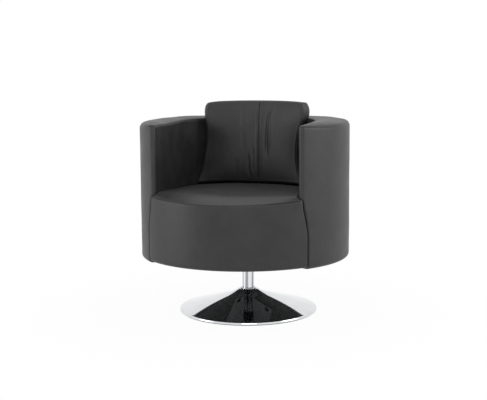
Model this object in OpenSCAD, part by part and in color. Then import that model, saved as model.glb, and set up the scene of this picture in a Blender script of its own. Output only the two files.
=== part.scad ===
// Round tub armchair on a chromed trumpet base, with a loose back cushion.
// Millimetres. +Z is up, the sitter faces -Y, and the floor is z = 0.
// The origin lies on the floor, under the centre of the round tub.

/* [Tub] */
// Outer radius of the round tub
tub_r = 350; // [330:1:370]
// Height of the tub's lower edge above the floor
tub_z = 201; // [190:1:215]
// Height of the rim above the floor
rim_z = 655; // [620:1:690]
// Thickness of the tub's wall at the back
wall_t = 119; // [105:1:130]
// Rounding radius of the tub's lower outer edge
foot_round = 12; // [8:1:30]
// Rounding radius of the rim's outer edge
rim_round = 18; // [10:1:22]
// Rounding radius of the rim's inner edge
rim_in_round = 9; // [4:0.5:10]
// Radius of the upright rounded tip at the front of each arm
tip_r = 12; // [10:0.5:16]
// Thickness of the outer padding, leather included
pad_t = 10; // [7:0.5:14]
// Thickness of the inner padding, leather included
inner_pad_t = 26; // [18:1:30]
// Thickness of the padding on top of the rim, leather included
cap_pad_t = 20; // [18:1:30]
// Thickness of the leather
cover_t = 1.2; // [0.9:0.1:2]

/* [Seat] */
// Height of the seat's crown above the floor
seat_top_z = 430; // [410:1:445]
// Radius of the seat's crown from front to back
crown_r = 3000; // [2600:10:6000]
// Place of the crown's highest line behind the tub's centre
crown_y = 0; // [-20:1:80]
// Thickness of the seat foam under the crown
seat_foam_t = 110; // [80:1:120]
// Distance from the arm tip's centre back to the seam beside the front panel, round the tub's face
seam_back = 15; // [8:1:24]
// Height up to which that seam is upright
seam_low_z = 350; // [330:1:370]
// Height of the corner where the seam meets the arm's tip
seam_high_z = 421; // [412:1:440]
// Distance that the seam draws in between those two heights
seam_draw = 28; // [20:1:30]
// Radius of the welt on the seat's front edge
welt_r = 1.6; // [1.2:0.1:2.5]

/* [Back cushion] */
// Width of the back cushion
cushion_w = 350; // [320:1:360]
// Height of the back cushion
cushion_h = 291; // [260:1:310]
// Width of the band between the cushion's front and back panels
cushion_band = 52; // [38:1:60]
// Height of the crown on the cushion's front
front_crown = 32; // [20:1:36]
// Height of the crown on the cushion's back
back_crown = 40; // [20:1:44]
// Angle by which the cushion leans back
cushion_lean = 3; // [2:0.5:4]
// Distance of the cushion's upright seam to the left of its middle, as the sitter has it
seam_x = 26; // [-30:1:30]
// Depth of the channel along the cushion's upright seam
seam_groove = 3; // [1:0.5:5]

/* [Frame] */
// Thickness of the round bottom board
board_t = 18; // [15:1:22]
// Thickness of the bent plywood skins
ply_t = 4; // [3:0.5:6]
// Thickness of the plywood rails
rail_t = 18; // [15:1:22]
// Width of each upright stud
stud_w = 24; // [18:1:30]
// Number of upright studs in the tub's wall
stud_count = 9; // [5:1:11]
// Thickness of the seat deck
deck_t = 15; // [12:1:18]
// Thickness of each bearer under the seat deck
bearer_t = 20; // [18:1:30]

/* [Base] */
// Radius of the trumpet base
base_r = 236; // [220:1:250]
// Distance of the swivel's axis behind the tub's centre
swivel_y = 35; // [0:1:45]
// Height of the base's rim edge above the floor
base_rim_z = 10.5; // [9.5:0.5:13]
// Slope of the trumpet near its rim
flare_deg = 15.5; // [13:0.5:16.5]
// Slope of the trumpet at its neck
neck_deg = 34; // [32:0.5:38]
// Radius of the trumpet's neck
neck_r = 33; // [30:0.5:38]
// Radius at which the straight flare turns into the neck's curve
turn_r = 74; // [66:1:90]
// Thickness of the spun steel
spun_t = 2; // [1.5:0.1:2.2]
// Radius of the column
column_r = 20; // [18:0.5:22]
// Wall of the column's tube
column_wall = 2.5; // [2:0.1:3]
// Radius of the spindle that turns in the column
spindle_r = 12.5; // [10:0.5:13]

/* [Hidden] */
$fn = 96;

// Overrun of every cut past the face that it opens
over = 10;
// Gap between soft faces that lie against each other
soft_gap = 0.3;
// Gap between rigid faces that are pressed or pushed together
seat_gap = 0.02;
// Running gap of the spindle in its bushes, on the radius
run_gap = 0.05;
// Gap round a bolt or stud in a plain hole, on the radius
hole_gap = 0.5;
// Gap round a piece that stands in a bored hole, on the radius
bore_gap = 0.1;

leather = [0.16, 0.16, 0.165];
ply = [0.80, 0.66, 0.46];
foam = [0.93, 0.88, 0.72];
chrome = [0.86, 0.87, 0.88];
zinc = [0.70, 0.71, 0.72];

// Radius of the seat well, which is half the clear width between the arms
well_r = tub_r - wall_t;

// Arm tip: centre of its rounding, on which both wall faces are tangent
tip_x = well_r + tip_r;
tip_y = -sqrt(pow(tub_r - tip_r, 2) - pow(tip_x, 2));
// Angle from the front to the seam between the front panel and each arm
seam_deg = asin(tip_x / (tub_r - tip_r)) + atan(seam_back / tub_r);

// Frame of the tub, inside the padding
skin_out_r = tub_r - pad_t;
board_r = skin_out_r - ply_t;
skin_in_r = well_r + inner_pad_t;
frame_in_r = skin_in_r + ply_t;
frame_top_z = rim_z - cap_pad_t;
board_z = tub_z + pad_t;
board_top_z = board_z + board_t;
// Width of the frame's blunt front end, where its two skins come together
stile_w = 22;
stile_y = -sqrt(pow(board_r, 2) - pow(frame_in_r + stile_w, 2));
// Span of the studs round the tub's back, from the middle of one end stud to the other's
stud_span = 2 * (90 + asin(-stile_y / board_r)) - 2 * asin(stud_w / board_r);
// Width of the leather that is turned in under the tub
turn_in = 22;
cover_open_r = tub_r - foot_round - turn_in;

// Seat: its sides clear the tub's lining by the soft gap
seat_r = well_r - soft_gap;
deck_top_z = seat_top_z - seat_foam_t;
deck_z = deck_top_z - deck_t;
// Reach of the two corner blocks forward of the seams
corner_reach = 60;
// Half angle of the plywood behind the front panel
front_deg = seam_deg - atan((cover_t + 2 * soft_gap) / board_r);
// Place of the front bearer, as a share of the well's radius
front_bearer_share = 0.95;
// Distance of the back bearer behind the swivel plate's back bolts
bearer_back = 52;
// Sides and steps of the welt's tube, and its half angle, which ends at the seat's lining
welt_sides = 8;
welt_steps = 40;
welt_deg = asin((seat_r - 2 * welt_r) / tub_r);
// Height of the crown's surface at a distance y behind the tub's centre
function crown_z(y, inset = 0) =
    seat_top_z - crown_r + sqrt(pow(crown_r - inset, 2) - pow(y - crown_y, 2));

// Swivel plate and its fasteners
plate_t = 4;
plate_w = 190;
plate_round = 12;
bolt_edge = 20;
bolt_pitch = plate_w - 2 * bolt_edge;
bolt_r = 4;
bolt_head_r = 7.5;
bolt_head_h = 5.3;
washer_r = 8.4;
washer_t = 1.6;
tee_r = 5;
tee_flange_r = 9.5;
tee_flange_t = 1.5;
// Height at which the tee nut's barrel starts above the board's underside
tee_skirt_z = 4.5;
bolt_proud = 4;
hub_r = 24;
dust_t = 0.8;
dust_gap = 6;

// Thrust bearing, from the swivel plate down to the column
hub_h = 18;
race_t = 2;
race_r = 23;
ball_r = 2.5;
ball_count = 12;
ball_ring_r = 18;
cage_t = 2.4;
cage_wall = 1.4;
plate_z = board_z - plate_t;
bolt_z = plate_z - washer_t - bolt_head_h;
hub_z = plate_z - hub_h;
upper_race_z = hub_z - race_t - seat_gap;
ball_z = upper_race_z - run_gap - ball_r;
lower_race_z = ball_z - ball_r - seat_gap - race_t;
flange_t = 2.5;
column_top_z = lower_race_z - flange_t - seat_gap;

// Column, its foot and its bushes
column_bore_r = column_r - column_wall;
bush_h = 24;
lower_bush_z = 78;
stud_r = 8;
stud_proud = 3;
foot_nut_h = 8;
foot_nut_r = 13.9;
foot_washer_r = 16;
foot_washer_t = 3;
nut_pocket_r = 22;
web_t = 8;
plug_h = 16;
clip_t = 1.2;
clip_r = 16.2;
clip_groove = 0.8;
clip_mouth = 5;
clip_gap = 0.3;
spindle_tail = 6;
clip_z = lower_bush_z - clip_gap - clip_t;

// Trumpet: a straight flare that turns into an arc at its neck
ring_h = 3;
ring_groove = 2;
ring_w = 12;
ring_edge = 5;
boss_r = 34;
boss_h = 46;
rim_fillet = 3;
collar_r = 27;
collar_h = 4;
collar_round = 1.5;
turn_z = base_rim_z + (base_r - turn_r) * tan(flare_deg);
neck_arc_r = (turn_r - neck_r) / (sin(neck_deg) - sin(flare_deg));
arc_x = turn_r + neck_arc_r * sin(flare_deg);
arc_z = turn_z + neck_arc_r * cos(flare_deg);
neck_z = arc_z - neck_arc_r * cos(neck_deg);
rim_ball_z = base_rim_z + rim_fillet * tan(flare_deg) - rim_fillet / cos(flare_deg);
disc_z = ring_h;
disc_top_z = rim_ball_z - seat_gap;
ring_out_r = base_r - ring_edge;
web_z = disc_z + foot_nut_h + foot_washer_t + stud_proud;
column_z = web_z + web_t;

// Back cushion: places of its grid's columns and rows, as shares of its half width and height
seam_share = 2 * seam_x / cushion_w;
seam_near_share = 0.05;
seam_far_share = 0.16;
column_shares = [-1, -0.94, -0.82, -0.62, -0.38,
    seam_share - seam_far_share, seam_share - seam_near_share, seam_share,
    seam_share + seam_near_share, seam_share + seam_far_share,
    0.38, 0.62, 0.82, 0.94, 1];
row_shares = [-1, -0.92, -0.75, -0.5, -0.2, 0.15, 0.5, 0.76, 0.93, 1];
// Share of the half width by which each side is drawn in at its middle
side_draw_share = 0.10;
// Share of the half height by which the top is drawn in at its middle
top_draw_share = 0.015;
// Share of the half width lost at the foot, and of the half height at the top corners
corner_share = 0.055;
crown_power = 2.6;
corner_power = 12;
zip_w = 6;
zip_t = 1;
cols = len(column_shares) - 1;
rows = len(row_shares) - 1;
ring_n = 2 * (cols + rows);
// Number of grid columns beside each end of the zip's slot in the foot of the band
zip_end_count = 3;
zip_from = zip_end_count;
zip_to = cols - zip_end_count;
// Back edge of the cushion's foot, as far back as the well's curve lets its sides go at the rim
rim_share = 2 * (rim_z - seat_top_z) / cushion_h - 1;
rim_side_x = cushion_w / 2 * (1 - side_draw_share * (1 - pow(rim_share, 2)));
cushion_back_y = sqrt(pow(seat_r, 2) - pow(rim_side_x, 2)) - (rim_z - seat_top_z) * sin(cushion_lean)
    - 2 * soft_gap;
cushion_foot_y = cushion_back_y - cushion_band * cos(cushion_lean);
cushion_z = soft_gap + max(crown_z(cushion_back_y),
    crown_z(cushion_foot_y) - cushion_band * sin(cushion_lean));

// Solid of revolution's half section: a drum with a rounded foot and a rounded top edge
module drum_2d(r, z0, z1, round0, round1) {
    polygon([[0, z0], [r - round0, z0], [r, z0 + round0],
             [r, z1 - round1], [r - round1, z1], [0, z1]]);
    translate([r - round0, z0 + round0]) circle(r = round0);
    if (round1 > 0)
        translate([r - round1, z1 - round1]) circle(r = round1);
}

// Plan of the seat well: round at the back, with straight sides that run out at the front
module well_2d(r) {
    circle(r = r);
    translate([-r, -tub_r - over]) square([2 * r, tub_r + over]);
}

// Plan of what is cut off in front of an arm's rounded tip
module tip_cut_2d() {
    reach = (tub_r + over) / (tub_r - tip_r);
    polygon([[tip_x, tip_y], [well_r - over, tip_y], [well_r - over, -tub_r - over],
             [tip_x * reach, tip_y * reach]]);
}

// Plan of the tub's wall, drawn in by an inset on every side
module wall_2d(inset) {
    difference() {
        circle(r = tub_r - inset);
        well_2d(well_r + inset);
        for (s = [0, 1]) mirror([s, 0]) tip_cut_2d();
    }
    for (s = [-1, 1]) translate([s * tip_x, tip_y]) circle(r = tip_r - inset);
}

// Half section of what is cut away to round an inner edge at radius r and height z
module round_over_2d(r, z, round) {
    difference() {
        translate([r - over, z - round]) square([over + round, round + over]);
        translate([r + round, z - round]) circle(r = round);
    }
}

// Cutter that rounds the rim's inner edge, and the tops of both arm tips
module rim_cutter(inset) {
    round = rim_in_round - inset;
    top = rim_z - inset;
    r = well_r + inset;
    rotate_extrude(angle = 180) round_over_2d(r, top, round);
    for (s = [0, 1]) mirror([s, 0, 0]) {
        rotate([90, 0, 0]) linear_extrude(-tip_y) round_over_2d(r, top, round);
        intersection() {
            translate([0, 0, top - round]) linear_extrude(round + over) tip_cut_2d();
            translate([tip_x, tip_y, 0]) rotate_extrude() difference() {
                translate([0, top - round]) square([tip_r + over, round + over]);
                translate([0, top - round]) square([tip_r - inset - round, round]);
                translate([tip_r - inset - round, top - round]) circle(r = round);
            }
        }
    }
}

// Block in front of a seam: upright to the lower height, then drawn in towards the front
module seam_block(gap, low_z, high_z) {
    draw_rate = seam_draw / (seam_high_z - seam_low_z);
    for (s = [0, 1]) mirror([s, 0, 0]) rotate([0, 0, seam_deg - 90])
        translate([well_r - over, 0, 0]) rotate([90, 0, 90]) linear_extrude(tub_r - well_r + 2 * over)
            polygon([[-gap, low_z], [-gap, seam_low_z], [-gap - draw_rate * (high_z - seam_low_z), high_z],
                     [-corner_reach, high_z], [-corner_reach, low_z]]);
}

// Solid of the upholstered tub, drawn in by an inset on every side
module tub_solid(inset) {
    difference() {
        intersection() {
            translate([0, 0, tub_z + inset]) linear_extrude(rim_z - tub_z - 2 * inset) wall_2d(inset);
            rotate_extrude() drum_2d(tub_r - inset, tub_z + inset, rim_z - inset,
                                     foot_round - inset, rim_round - inset);
        }
        rim_cutter(inset);
        seam_block(-inset, tub_z - over, seam_high_z);
    }
}

// Solid of the upholstered seat and its front panel, drawn in by an inset on every side
module seat_solid(inset) {
    intersection() {
        union() {
            translate([0, 0, tub_z + inset]) linear_extrude(rim_z - tub_z) well_2d(seat_r - inset);
            seam_block(soft_gap + inset, tub_z + inset, seam_high_z);
        }
        rotate_extrude() drum_2d(tub_r - inset, tub_z + inset, rim_z, foot_round - inset, 0);
        translate([-tub_r, crown_y, seat_top_z - crown_r]) rotate([0, 90, 0])
            cylinder(h = 2 * tub_r, r = crown_r - inset, $fn = 720);
    }
}

// Plan of the frame between its two skins, cut blunt at the front
module frame_2d(out_r, in_r) {
    difference() {
        circle(r = out_r);
        well_2d(in_r);
        translate([-tub_r, -tub_r]) square([2 * tub_r, tub_r + stile_y]);
    }
}

// Disc or ring on the swivel's axis
module ring(r, bore, z, h) {
    translate([0, swivel_y, z]) difference() {
        cylinder(h = h, r = r);
        translate([0, 0, -over]) cylinder(h = h + 2 * over, r = bore);
    }
}

// Places one child at each of the swivel plate's four bolts
module at_bolts() {
    for (x = [-1, 1], y = [-1, 1])
        translate([x * bolt_pitch / 2, swivel_y + y * bolt_pitch / 2, 0]) children();
}

// Half section under the trumpet's skin, drawn in by the skin's thickness or by nothing
module trumpet_2d(inset, low_z) {
    r = neck_arc_r + inset;
    fillet = rim_fillet - inset;
    fillet_x = base_r - rim_fillet;
    difference() {
        polygon([[0, low_z], [base_r - inset, low_z], [base_r - inset, rim_ball_z],
                 [fillet_x + fillet * sin(flare_deg), rim_ball_z + fillet * cos(flare_deg)],
                 [arc_x - r * sin(flare_deg), arc_z - r * cos(flare_deg)],
                 [arc_x - r * sin(neck_deg), arc_z - r * cos(neck_deg)],
                 [0, arc_z - r * cos(neck_deg)]]);
        translate([arc_x, arc_z]) circle(r = r, $fn = 360);
    }
    translate([fillet_x, rim_ball_z]) circle(r = fillet);
}

// Spun steel shell of the base, with a flat top that the column passes through
module trumpet_shell() color(chrome)
    translate([0, swivel_y, 0]) difference() {
        rotate_extrude($fn = 180) difference() {
            trumpet_2d(0, ring_h);
            trumpet_2d(spun_t, ring_h - over);
        }
        cylinder(h = neck_z + over, r = column_r + bore_gap);
    }

// Cast iron weight inside the shell: a disc with a boss that the column stands in
module ballast_plate() color("dimgray")
    translate([0, swivel_y, 0]) difference() {
        union() {
            translate([0, 0, disc_z])
                cylinder(h = disc_top_z - disc_z, r = base_r - spun_t - seat_gap, $fn = 180);
            translate([0, 0, disc_z]) cylinder(h = boss_h, r = boss_r);
        }
        translate([0, 0, disc_z - over]) cylinder(h = web_z - disc_z + over, r = nut_pocket_r);
        cylinder(h = column_z, r = stud_r + hole_gap);
        translate([0, 0, column_z]) cylinder(h = boss_h, r = column_r + bore_gap);
        translate([0, 0, disc_z - over]) difference() {
            cylinder(h = ring_groove + over, r = ring_out_r + bore_gap, $fn = 180);
            translate([0, 0, -over])
                cylinder(h = ring_groove + 3 * over, r = ring_out_r - ring_w - bore_gap, $fn = 180);
        }
    }

// Rubber ring let into the weight's underside, which the chair stands on
module floor_ring() color([0.08, 0.08, 0.08])
    ring(ring_out_r, ring_out_r - ring_w, 0, ring_h + ring_groove - seat_gap);

// Plug welded into the column's foot, with the stud that pulls it down
module foot_plug() color(zinc)
    translate([0, swivel_y, 0]) {
        translate([0, 0, column_z]) cylinder(h = plug_h, r = column_bore_r - seat_gap);
        translate([0, 0, disc_z]) cylinder(h = column_z - disc_z + over, r = stud_r);
    }

module foot_washer() color(zinc)
    ring(foot_washer_r, stud_r + hole_gap / 2, web_z - foot_washer_t, foot_washer_t - seat_gap);

module foot_nut() color(zinc)
    translate([0, swivel_y, disc_z + stud_proud]) difference() {
        cylinder(h = foot_nut_h - seat_gap, r = foot_nut_r, $fn = 6);
        translate([0, 0, -over]) cylinder(h = foot_nut_h + 2 * over, r = stud_r + seat_gap);
    }

// Chromed tube between the base and the seat
module column_tube() color(chrome)
    ring(column_r, column_bore_r, column_z, column_top_z - column_z);

// Chromed collar that closes the gap between the column and the trumpet's top
module neck_collar() color(chrome)
    translate([0, swivel_y, 0]) rotate_extrude() difference() {
        drum_2d(collar_r, neck_z + seat_gap, neck_z + collar_h, 0, collar_round);
        square([column_r + seat_gap, neck_z + 2 * collar_h]);
    }

// Nylon bush pressed into the tube, which guides the spindle's tail
module lower_bush() color("white")
    ring(column_bore_r - seat_gap, spindle_r + run_gap, lower_bush_z, bush_h);

// Nylon bush in the tube's mouth, with a flange under the thrust bearing
module upper_bush() color("white")
    translate([0, swivel_y, 0]) difference() {
        union() {
            translate([0, 0, column_top_z - bush_h])
                cylinder(h = bush_h + flange_t, r = column_bore_r - seat_gap);
            translate([0, 0, column_top_z + seat_gap]) cylinder(h = flange_t, r = column_r);
        }
        translate([0, 0, column_top_z - bush_h - over])
            cylinder(h = bush_h + flange_t + 2 * over, r = spindle_r + run_gap);
    }

module lower_race() color(zinc)
    ring(race_r, spindle_r + hole_gap, lower_race_z, race_t);

module upper_race() color(zinc)
    ring(race_r, spindle_r + run_gap, upper_race_z, race_t);

// Cage that keeps the balls of the thrust bearing apart
module ball_cage() color("tan")
    translate([0, swivel_y, 0]) difference() {
        translate([0, 0, ball_z - cage_t / 2]) cylinder(h = cage_t, r = ball_ring_r + ball_r + cage_wall);
        translate([0, 0, ball_z - over]) cylinder(h = 2 * over, r = ball_ring_r - ball_r - cage_wall);
        for (i = [0 : ball_count - 1]) rotate([0, 0, i * 360 / ball_count])
            translate([ball_ring_r, 0, ball_z - over])
                cylinder(h = 2 * over, r = ball_r + run_gap, $fn = 24);
    }

module bearing_balls() color(zinc)
    for (i = [0 : ball_count - 1]) translate([0, swivel_y, ball_z]) rotate([0, 0, i * 360 / ball_count])
        translate([ball_ring_r, 0, 0]) sphere(r = ball_r, $fn = 24);

// Steel spindle under the swivel plate, with the groove for its circlip
module spindle() color(zinc)
    translate([0, swivel_y, 0]) difference() {
        translate([0, 0, clip_z - spindle_tail])
            cylinder(h = board_z - seat_gap - clip_z + spindle_tail, r = spindle_r);
        translate([0, 0, clip_z]) difference() {
            cylinder(h = clip_t, r = spindle_r + over);
            translate([0, 0, -over]) cylinder(h = clip_t + 2 * over, r = spindle_r - clip_groove);
        }
    }

// Spring ring that stops the spindle from being pulled out of the lower bush
module circlip() color("dimgray")
    difference() {
        ring(clip_r, spindle_r - clip_groove + seat_gap, clip_z + seat_gap, clip_t - 2 * seat_gap);
        translate([-clip_mouth / 2, swivel_y, clip_z - over])
            cube([clip_mouth, clip_r + over, clip_t + 2 * over]);
    }

// Steel plate under the bottom board, with the hub that takes the spindle
module swivel_plate() color([0.1, 0.1, 0.1])
    translate([0, swivel_y, 0]) difference() {
        union() {
            translate([0, 0, plate_z]) linear_extrude(plate_t) {
                square([plate_w, plate_w - 2 * plate_round], center = true);
                square([plate_w - 2 * plate_round, plate_w], center = true);
                for (x = [-1, 1], y = [-1, 1])
                    translate([x, y] * (plate_w / 2 - plate_round)) circle(r = plate_round);
            }
            translate([0, 0, hub_z]) cylinder(h = hub_h, r = hub_r);
        }
        translate([0, 0, hub_z - over]) cylinder(h = board_z - hub_z + 2 * over, r = spindle_r + seat_gap);
        for (x = [-1, 1], y = [-1, 1]) translate([x * bolt_pitch / 2, y * bolt_pitch / 2, plate_z - over])
            cylinder(h = plate_t + 2 * over, r = bolt_r + hole_gap);
    }

module plate_bolts() color(zinc)
    at_bolts() translate([0, 0, bolt_z]) {
        cylinder(h = bolt_head_h, r = bolt_head_r, $fn = 6);
        cylinder(h = board_top_z + tee_flange_t + bolt_proud - bolt_z, r = bolt_r);
    }

module plate_washers() color(zinc)
    at_bolts() translate([0, 0, plate_z - washer_t]) difference() {
        translate([0, 0, seat_gap]) cylinder(h = washer_t - 2 * seat_gap, r = washer_r);
        translate([0, 0, -over]) cylinder(h = washer_t + 2 * over, r = bolt_r + hole_gap / 2);
    }

// Tee nuts in the board, which the plate's bolts screw into
module tee_nuts() color(zinc)
    at_bolts() difference() {
        union() {
            translate([0, 0, board_z + tee_skirt_z]) cylinder(h = board_t, r = tee_r);
            translate([0, 0, board_top_z + seat_gap]) cylinder(h = tee_flange_t, r = tee_flange_r);
        }
        translate([0, 0, board_z]) cylinder(h = board_t + 2 * over, r = bolt_r + run_gap);
        translate([0, 0, board_top_z + seat_gap + tee_flange_t]) cylinder(h = board_t, r = tee_flange_r);
    }

// Round plywood board that carries the tub and the seat, and that the swivel plate is bolted to
module bottom_board() color(ply)
    difference() {
        translate([0, 0, board_z]) cylinder(h = board_t, r = board_r - seat_gap, $fn = 180);
        at_bolts() translate([0, 0, board_z - over]) cylinder(h = board_t + 2 * over, r = tee_r + bore_gap);
    }

// Black cloth stapled under the board, cut out round the swivel plate
module dust_cover() color([0.05, 0.05, 0.05])
    difference() {
        translate([0, 0, board_z - dust_t])
            cylinder(h = dust_t - seat_gap, r = cover_open_r - soft_gap, $fn = 180);
        translate([0, swivel_y, board_z])
            cube([plate_w + 2 * dust_gap, plate_w + 2 * dust_gap, 2 * over], center = true);
    }

// Plywood rail between the two skins at a height z
module rail(z) color(ply)
    translate([0, 0, z]) linear_extrude(rail_t - 2 * seat_gap)
        frame_2d(board_r - seat_gap, frame_in_r + seat_gap);

module bottom_rail() rail(board_top_z + seat_gap);

module top_rail() rail(frame_top_z - rail_t + seat_gap);

// Upright studs between the two rails, shaped to the wall where they stand
module wall_studs() color([0.86, 0.74, 0.55])
    translate([0, 0, board_top_z + rail_t]) linear_extrude(frame_top_z - board_top_z - 2 * rail_t)
        for (i = [0 : stud_count - 1]) intersection() {
            frame_2d(board_r - seat_gap, frame_in_r + seat_gap);
            rotate(90 - stud_span / 2 + i * stud_span / (stud_count - 1))
                translate([0, -stud_w / 2]) square([tub_r, stud_w]);
        }

// Bent plywood skin round the outside of the tub's frame
module outer_skin() color(ply)
    translate([0, 0, board_z]) linear_extrude(frame_top_z - board_z) difference() {
        frame_2d(skin_out_r - seat_gap, frame_in_r);
        circle(r = board_r);
    }

// Bent plywood skin round the seat well
module inner_skin() color(ply)
    translate([0, 0, board_top_z + seat_gap]) linear_extrude(frame_top_z - board_top_z - seat_gap)
        difference() {
            frame_2d(board_r - seat_gap, skin_in_r + seat_gap);
            difference() {
                circle(r = board_r + over);
                well_2d(frame_in_r);
            }
        }

// Foam round the tub's frame, with the soft arm tips in front of it
module tub_padding() color(foam)
    difference() {
        tub_solid(cover_t);
        translate([0, 0, board_z]) linear_extrude(frame_top_z - board_z) frame_2d(skin_out_r, skin_in_r);
        translate([0, 0, board_z]) cylinder(h = board_t, r = board_r);
        cylinder(h = board_z + board_t / 2, r = cover_open_r);
    }

// Leather skin over the whole tub, turned in under the board
module tub_cover() color(leather)
    difference() {
        tub_solid(0);
        tub_solid(cover_t);
        translate([0, 0, board_z]) cylinder(h = board_t, r = board_r);
        cylinder(h = board_z + board_t / 2, r = cover_open_r);
    }

// Bent plywood behind the seat's front panel, fixed to the board's edge
module front_skin() color(ply)
    rotate([0, 0, -90 - front_deg]) rotate_extrude(angle = 2 * front_deg)
        translate([board_r, board_z]) square([ply_t - seat_gap, deck_top_z - board_z - seat_gap]);

// Bearers on edge that carry the seat deck
module seat_bearers() color([0.86, 0.74, 0.55])
    translate([0, 0, board_top_z + seat_gap]) linear_extrude(deck_z - board_top_z - 2 * seat_gap)
        for (y = [-front_bearer_share * well_r, swivel_y, swivel_y + bolt_pitch / 2 + bearer_back])
            intersection() {
                deck_2d();
                translate([-tub_r, y - bearer_t / 2]) square([2 * tub_r, bearer_t]);
            }

// Plan of the space inside the seat's lining
module deck_2d() {
    intersection() {
        circle(r = board_r - seat_gap);
        well_2d(seat_r - cover_t - soft_gap);
    }
}

module seat_deck() color(ply)
    translate([0, 0, deck_z]) linear_extrude(deck_t - seat_gap) deck_2d();

// Crowned seat foam, with its thin apron down the front panel
module seat_foam() color(foam)
    difference() {
        seat_solid(cover_t + seat_gap);
        translate([0, 0, board_z]) cylinder(h = deck_top_z - board_z, r = skin_out_r);
        cylinder(h = board_z + board_t / 2, r = cover_open_r);
    }

// Leather over the seat and its front panel, turned in under the board
module seat_cover() color(leather)
    difference() {
        seat_solid(0);
        seat_solid(cover_t);
        translate([0, 0, board_z]) cylinder(h = board_t, r = board_r);
        cylinder(h = deck_z, r = cover_open_r);
    }

// Welt along the seat's front edge: a thin tube that follows the crown round the front
function welt_ring(a) = let (r = tub_r - welt_r, y = -r * cos(a), lift = welt_r + bore_gap)
    [for (k = [0 : welt_sides - 1]) let (b = k * 360 / welt_sides, q = r + welt_r * cos(b))
        [q * sin(a), -q * cos(a), crown_z(y) + lift + welt_r * sin(b)]];

module seat_welt() color(leather)
    polyhedron(
        points = [for (i = [0 : welt_steps]) each welt_ring(welt_deg * (2 * i / welt_steps - 1))],
        faces = concat(
            [[for (k = [welt_sides - 1 : -1 : 0]) k]],
            [for (i = [0 : welt_steps - 1], k = [0 : welt_sides - 1])
                let (a = i * welt_sides + k, b = i * welt_sides + (k + 1) % welt_sides)
                each [[a, b, b + welt_sides], [a, b + welt_sides, a + welt_sides]]],
            [[for (k = [0 : welt_sides - 1]) welt_steps * welt_sides + k]]));

// A point of the cushion's outline grid. Side is -1 on the front panel and 1 on the back panel.
function crown_share(c, r) = (1 - pow(abs(c), crown_power)) * (1 - pow(abs(r), crown_power));
function corner_loss(c, r) = corner_share * pow(abs(c * r), corner_power);
function cushion_x(c, r, inset) =
    c * (cushion_w / 2 - inset) * (1 - side_draw_share * (1 - r * r) - corner_loss(c, r));
function cushion_up(c, r, inset) = cushion_h / 2
    + r * (cushion_h / 2 - inset) * (1 - (r > 0 ? top_draw_share * (1 - c * c) + corner_loss(c, r) : 0));
function panel_depth(c, r, side, inset) = cushion_band / 2 - inset
    + (side < 0 ? front_crown * crown_share(c, r) - (c == seam_share && abs(r) < 1 ? seam_groove : 0)
                : back_crown * crown_share(c, r));
function panel_pt(c, r, side, inset) =
    [cushion_x(c, r, inset), side * panel_depth(c, r, side, inset), cushion_up(c, r, inset)];
function ring_share(k) =
    k < cols ? [column_shares[k], -1]
    : k < cols + rows ? [1, row_shares[k - cols]]
    : k < 2 * cols + rows ? [column_shares[2 * cols + rows - k], 1]
    : [-1, row_shares[ring_n - k]];
function ring_index(k) =
    k < cols ? k
    : k < cols + rows ? cols + (k - cols) * (cols + 1)
    : k < 2 * cols + rows ? (2 * cols + rows - k) + rows * (cols + 1)
    : (ring_n - k) * (cols + 1);
function band_pt(k, side, inset) = let (s = ring_share(k))
    [cushion_x(s[0], s[1], inset), side * zip_w / 2, cushion_up(s[0], s[1], inset)];
function cushion_points(inset) = concat(
    [for (side = [-1, 1]) for (r = row_shares) for (c = column_shares) panel_pt(c, r, side, inset)],
    [for (side = [-1, 1]) for (k = [0 : ring_n - 1]) band_pt(k, side, inset)]);

grid_n = (cols + 1) * (rows + 1);
// Index of a point in one of the band's four rows, from its front edge to its back edge
function band_index(row, k) = let (j = k % ring_n)
    row == 0 ? ring_index(j)
    : row == 3 ? grid_n + ring_index(j)
    : 2 * grid_n + (row - 1) * ring_n + j;
function in_zip(row, k) = row == 1 && k >= zip_from && k < zip_to;
function cushion_faces(open) = concat(
    [for (j = [0 : rows - 1], i = [0 : cols - 1]) let (a = j * (cols + 1) + i, b = a + cols + 1)
        each [[a, b, b + 1], [a, b + 1, a + 1]]],
    [for (j = [0 : rows - 1], i = [0 : cols - 1]) let (a = grid_n + j * (cols + 1) + i, b = a + cols + 1)
        each [[a, b + 1, b], [a, a + 1, b + 1]]],
    [for (row = [0 : 2], k = [0 : ring_n - 1]) if (!(open && in_zip(row, k)))
        let (a = band_index(row, k), b = band_index(row, k + 1),
             c = band_index(row + 1, k + 1), d = band_index(row + 1, k))
        each [[a, b, c], [a, c, d]]]);
layer_n = 2 * grid_n + 2 * ring_n;
function shifted(faces, n) = [for (f = faces) [f[2] + n, f[1] + n, f[0] + n]];
function zip_rim() = concat(
    [for (k = [zip_from : zip_to - 1]) let (a = band_index(1, k), b = band_index(1, k + 1))
        each [[a, b, b + layer_n], [a, b + layer_n, a + layer_n]]],
    [for (k = [zip_from : zip_to - 1]) let (a = band_index(2, k), b = band_index(2, k + 1))
        each [[a, b + layer_n, b], [a, a + layer_n, b + layer_n]]],
    let (a = band_index(1, zip_from), b = band_index(2, zip_from))
        [[a, a + layer_n, b + layer_n], [a, b + layer_n, b]],
    let (a = band_index(1, zip_to), b = band_index(2, zip_to))
        [[a, b + layer_n, a + layer_n], [a, b, b + layer_n]]);

// Stands the cushion on the seat by the back edge of its foot, leaning back
module at_cushion() {
    translate([0, cushion_back_y, cushion_z]) rotate([-cushion_lean, 0, 0])
        translate([0, -cushion_band / 2, 0]) children();
}

// Fibre filling of the cushion
module cushion_fill() color("white")
    at_cushion() polyhedron(points = cushion_points(cover_t + bore_gap), faces = cushion_faces(false));

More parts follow.
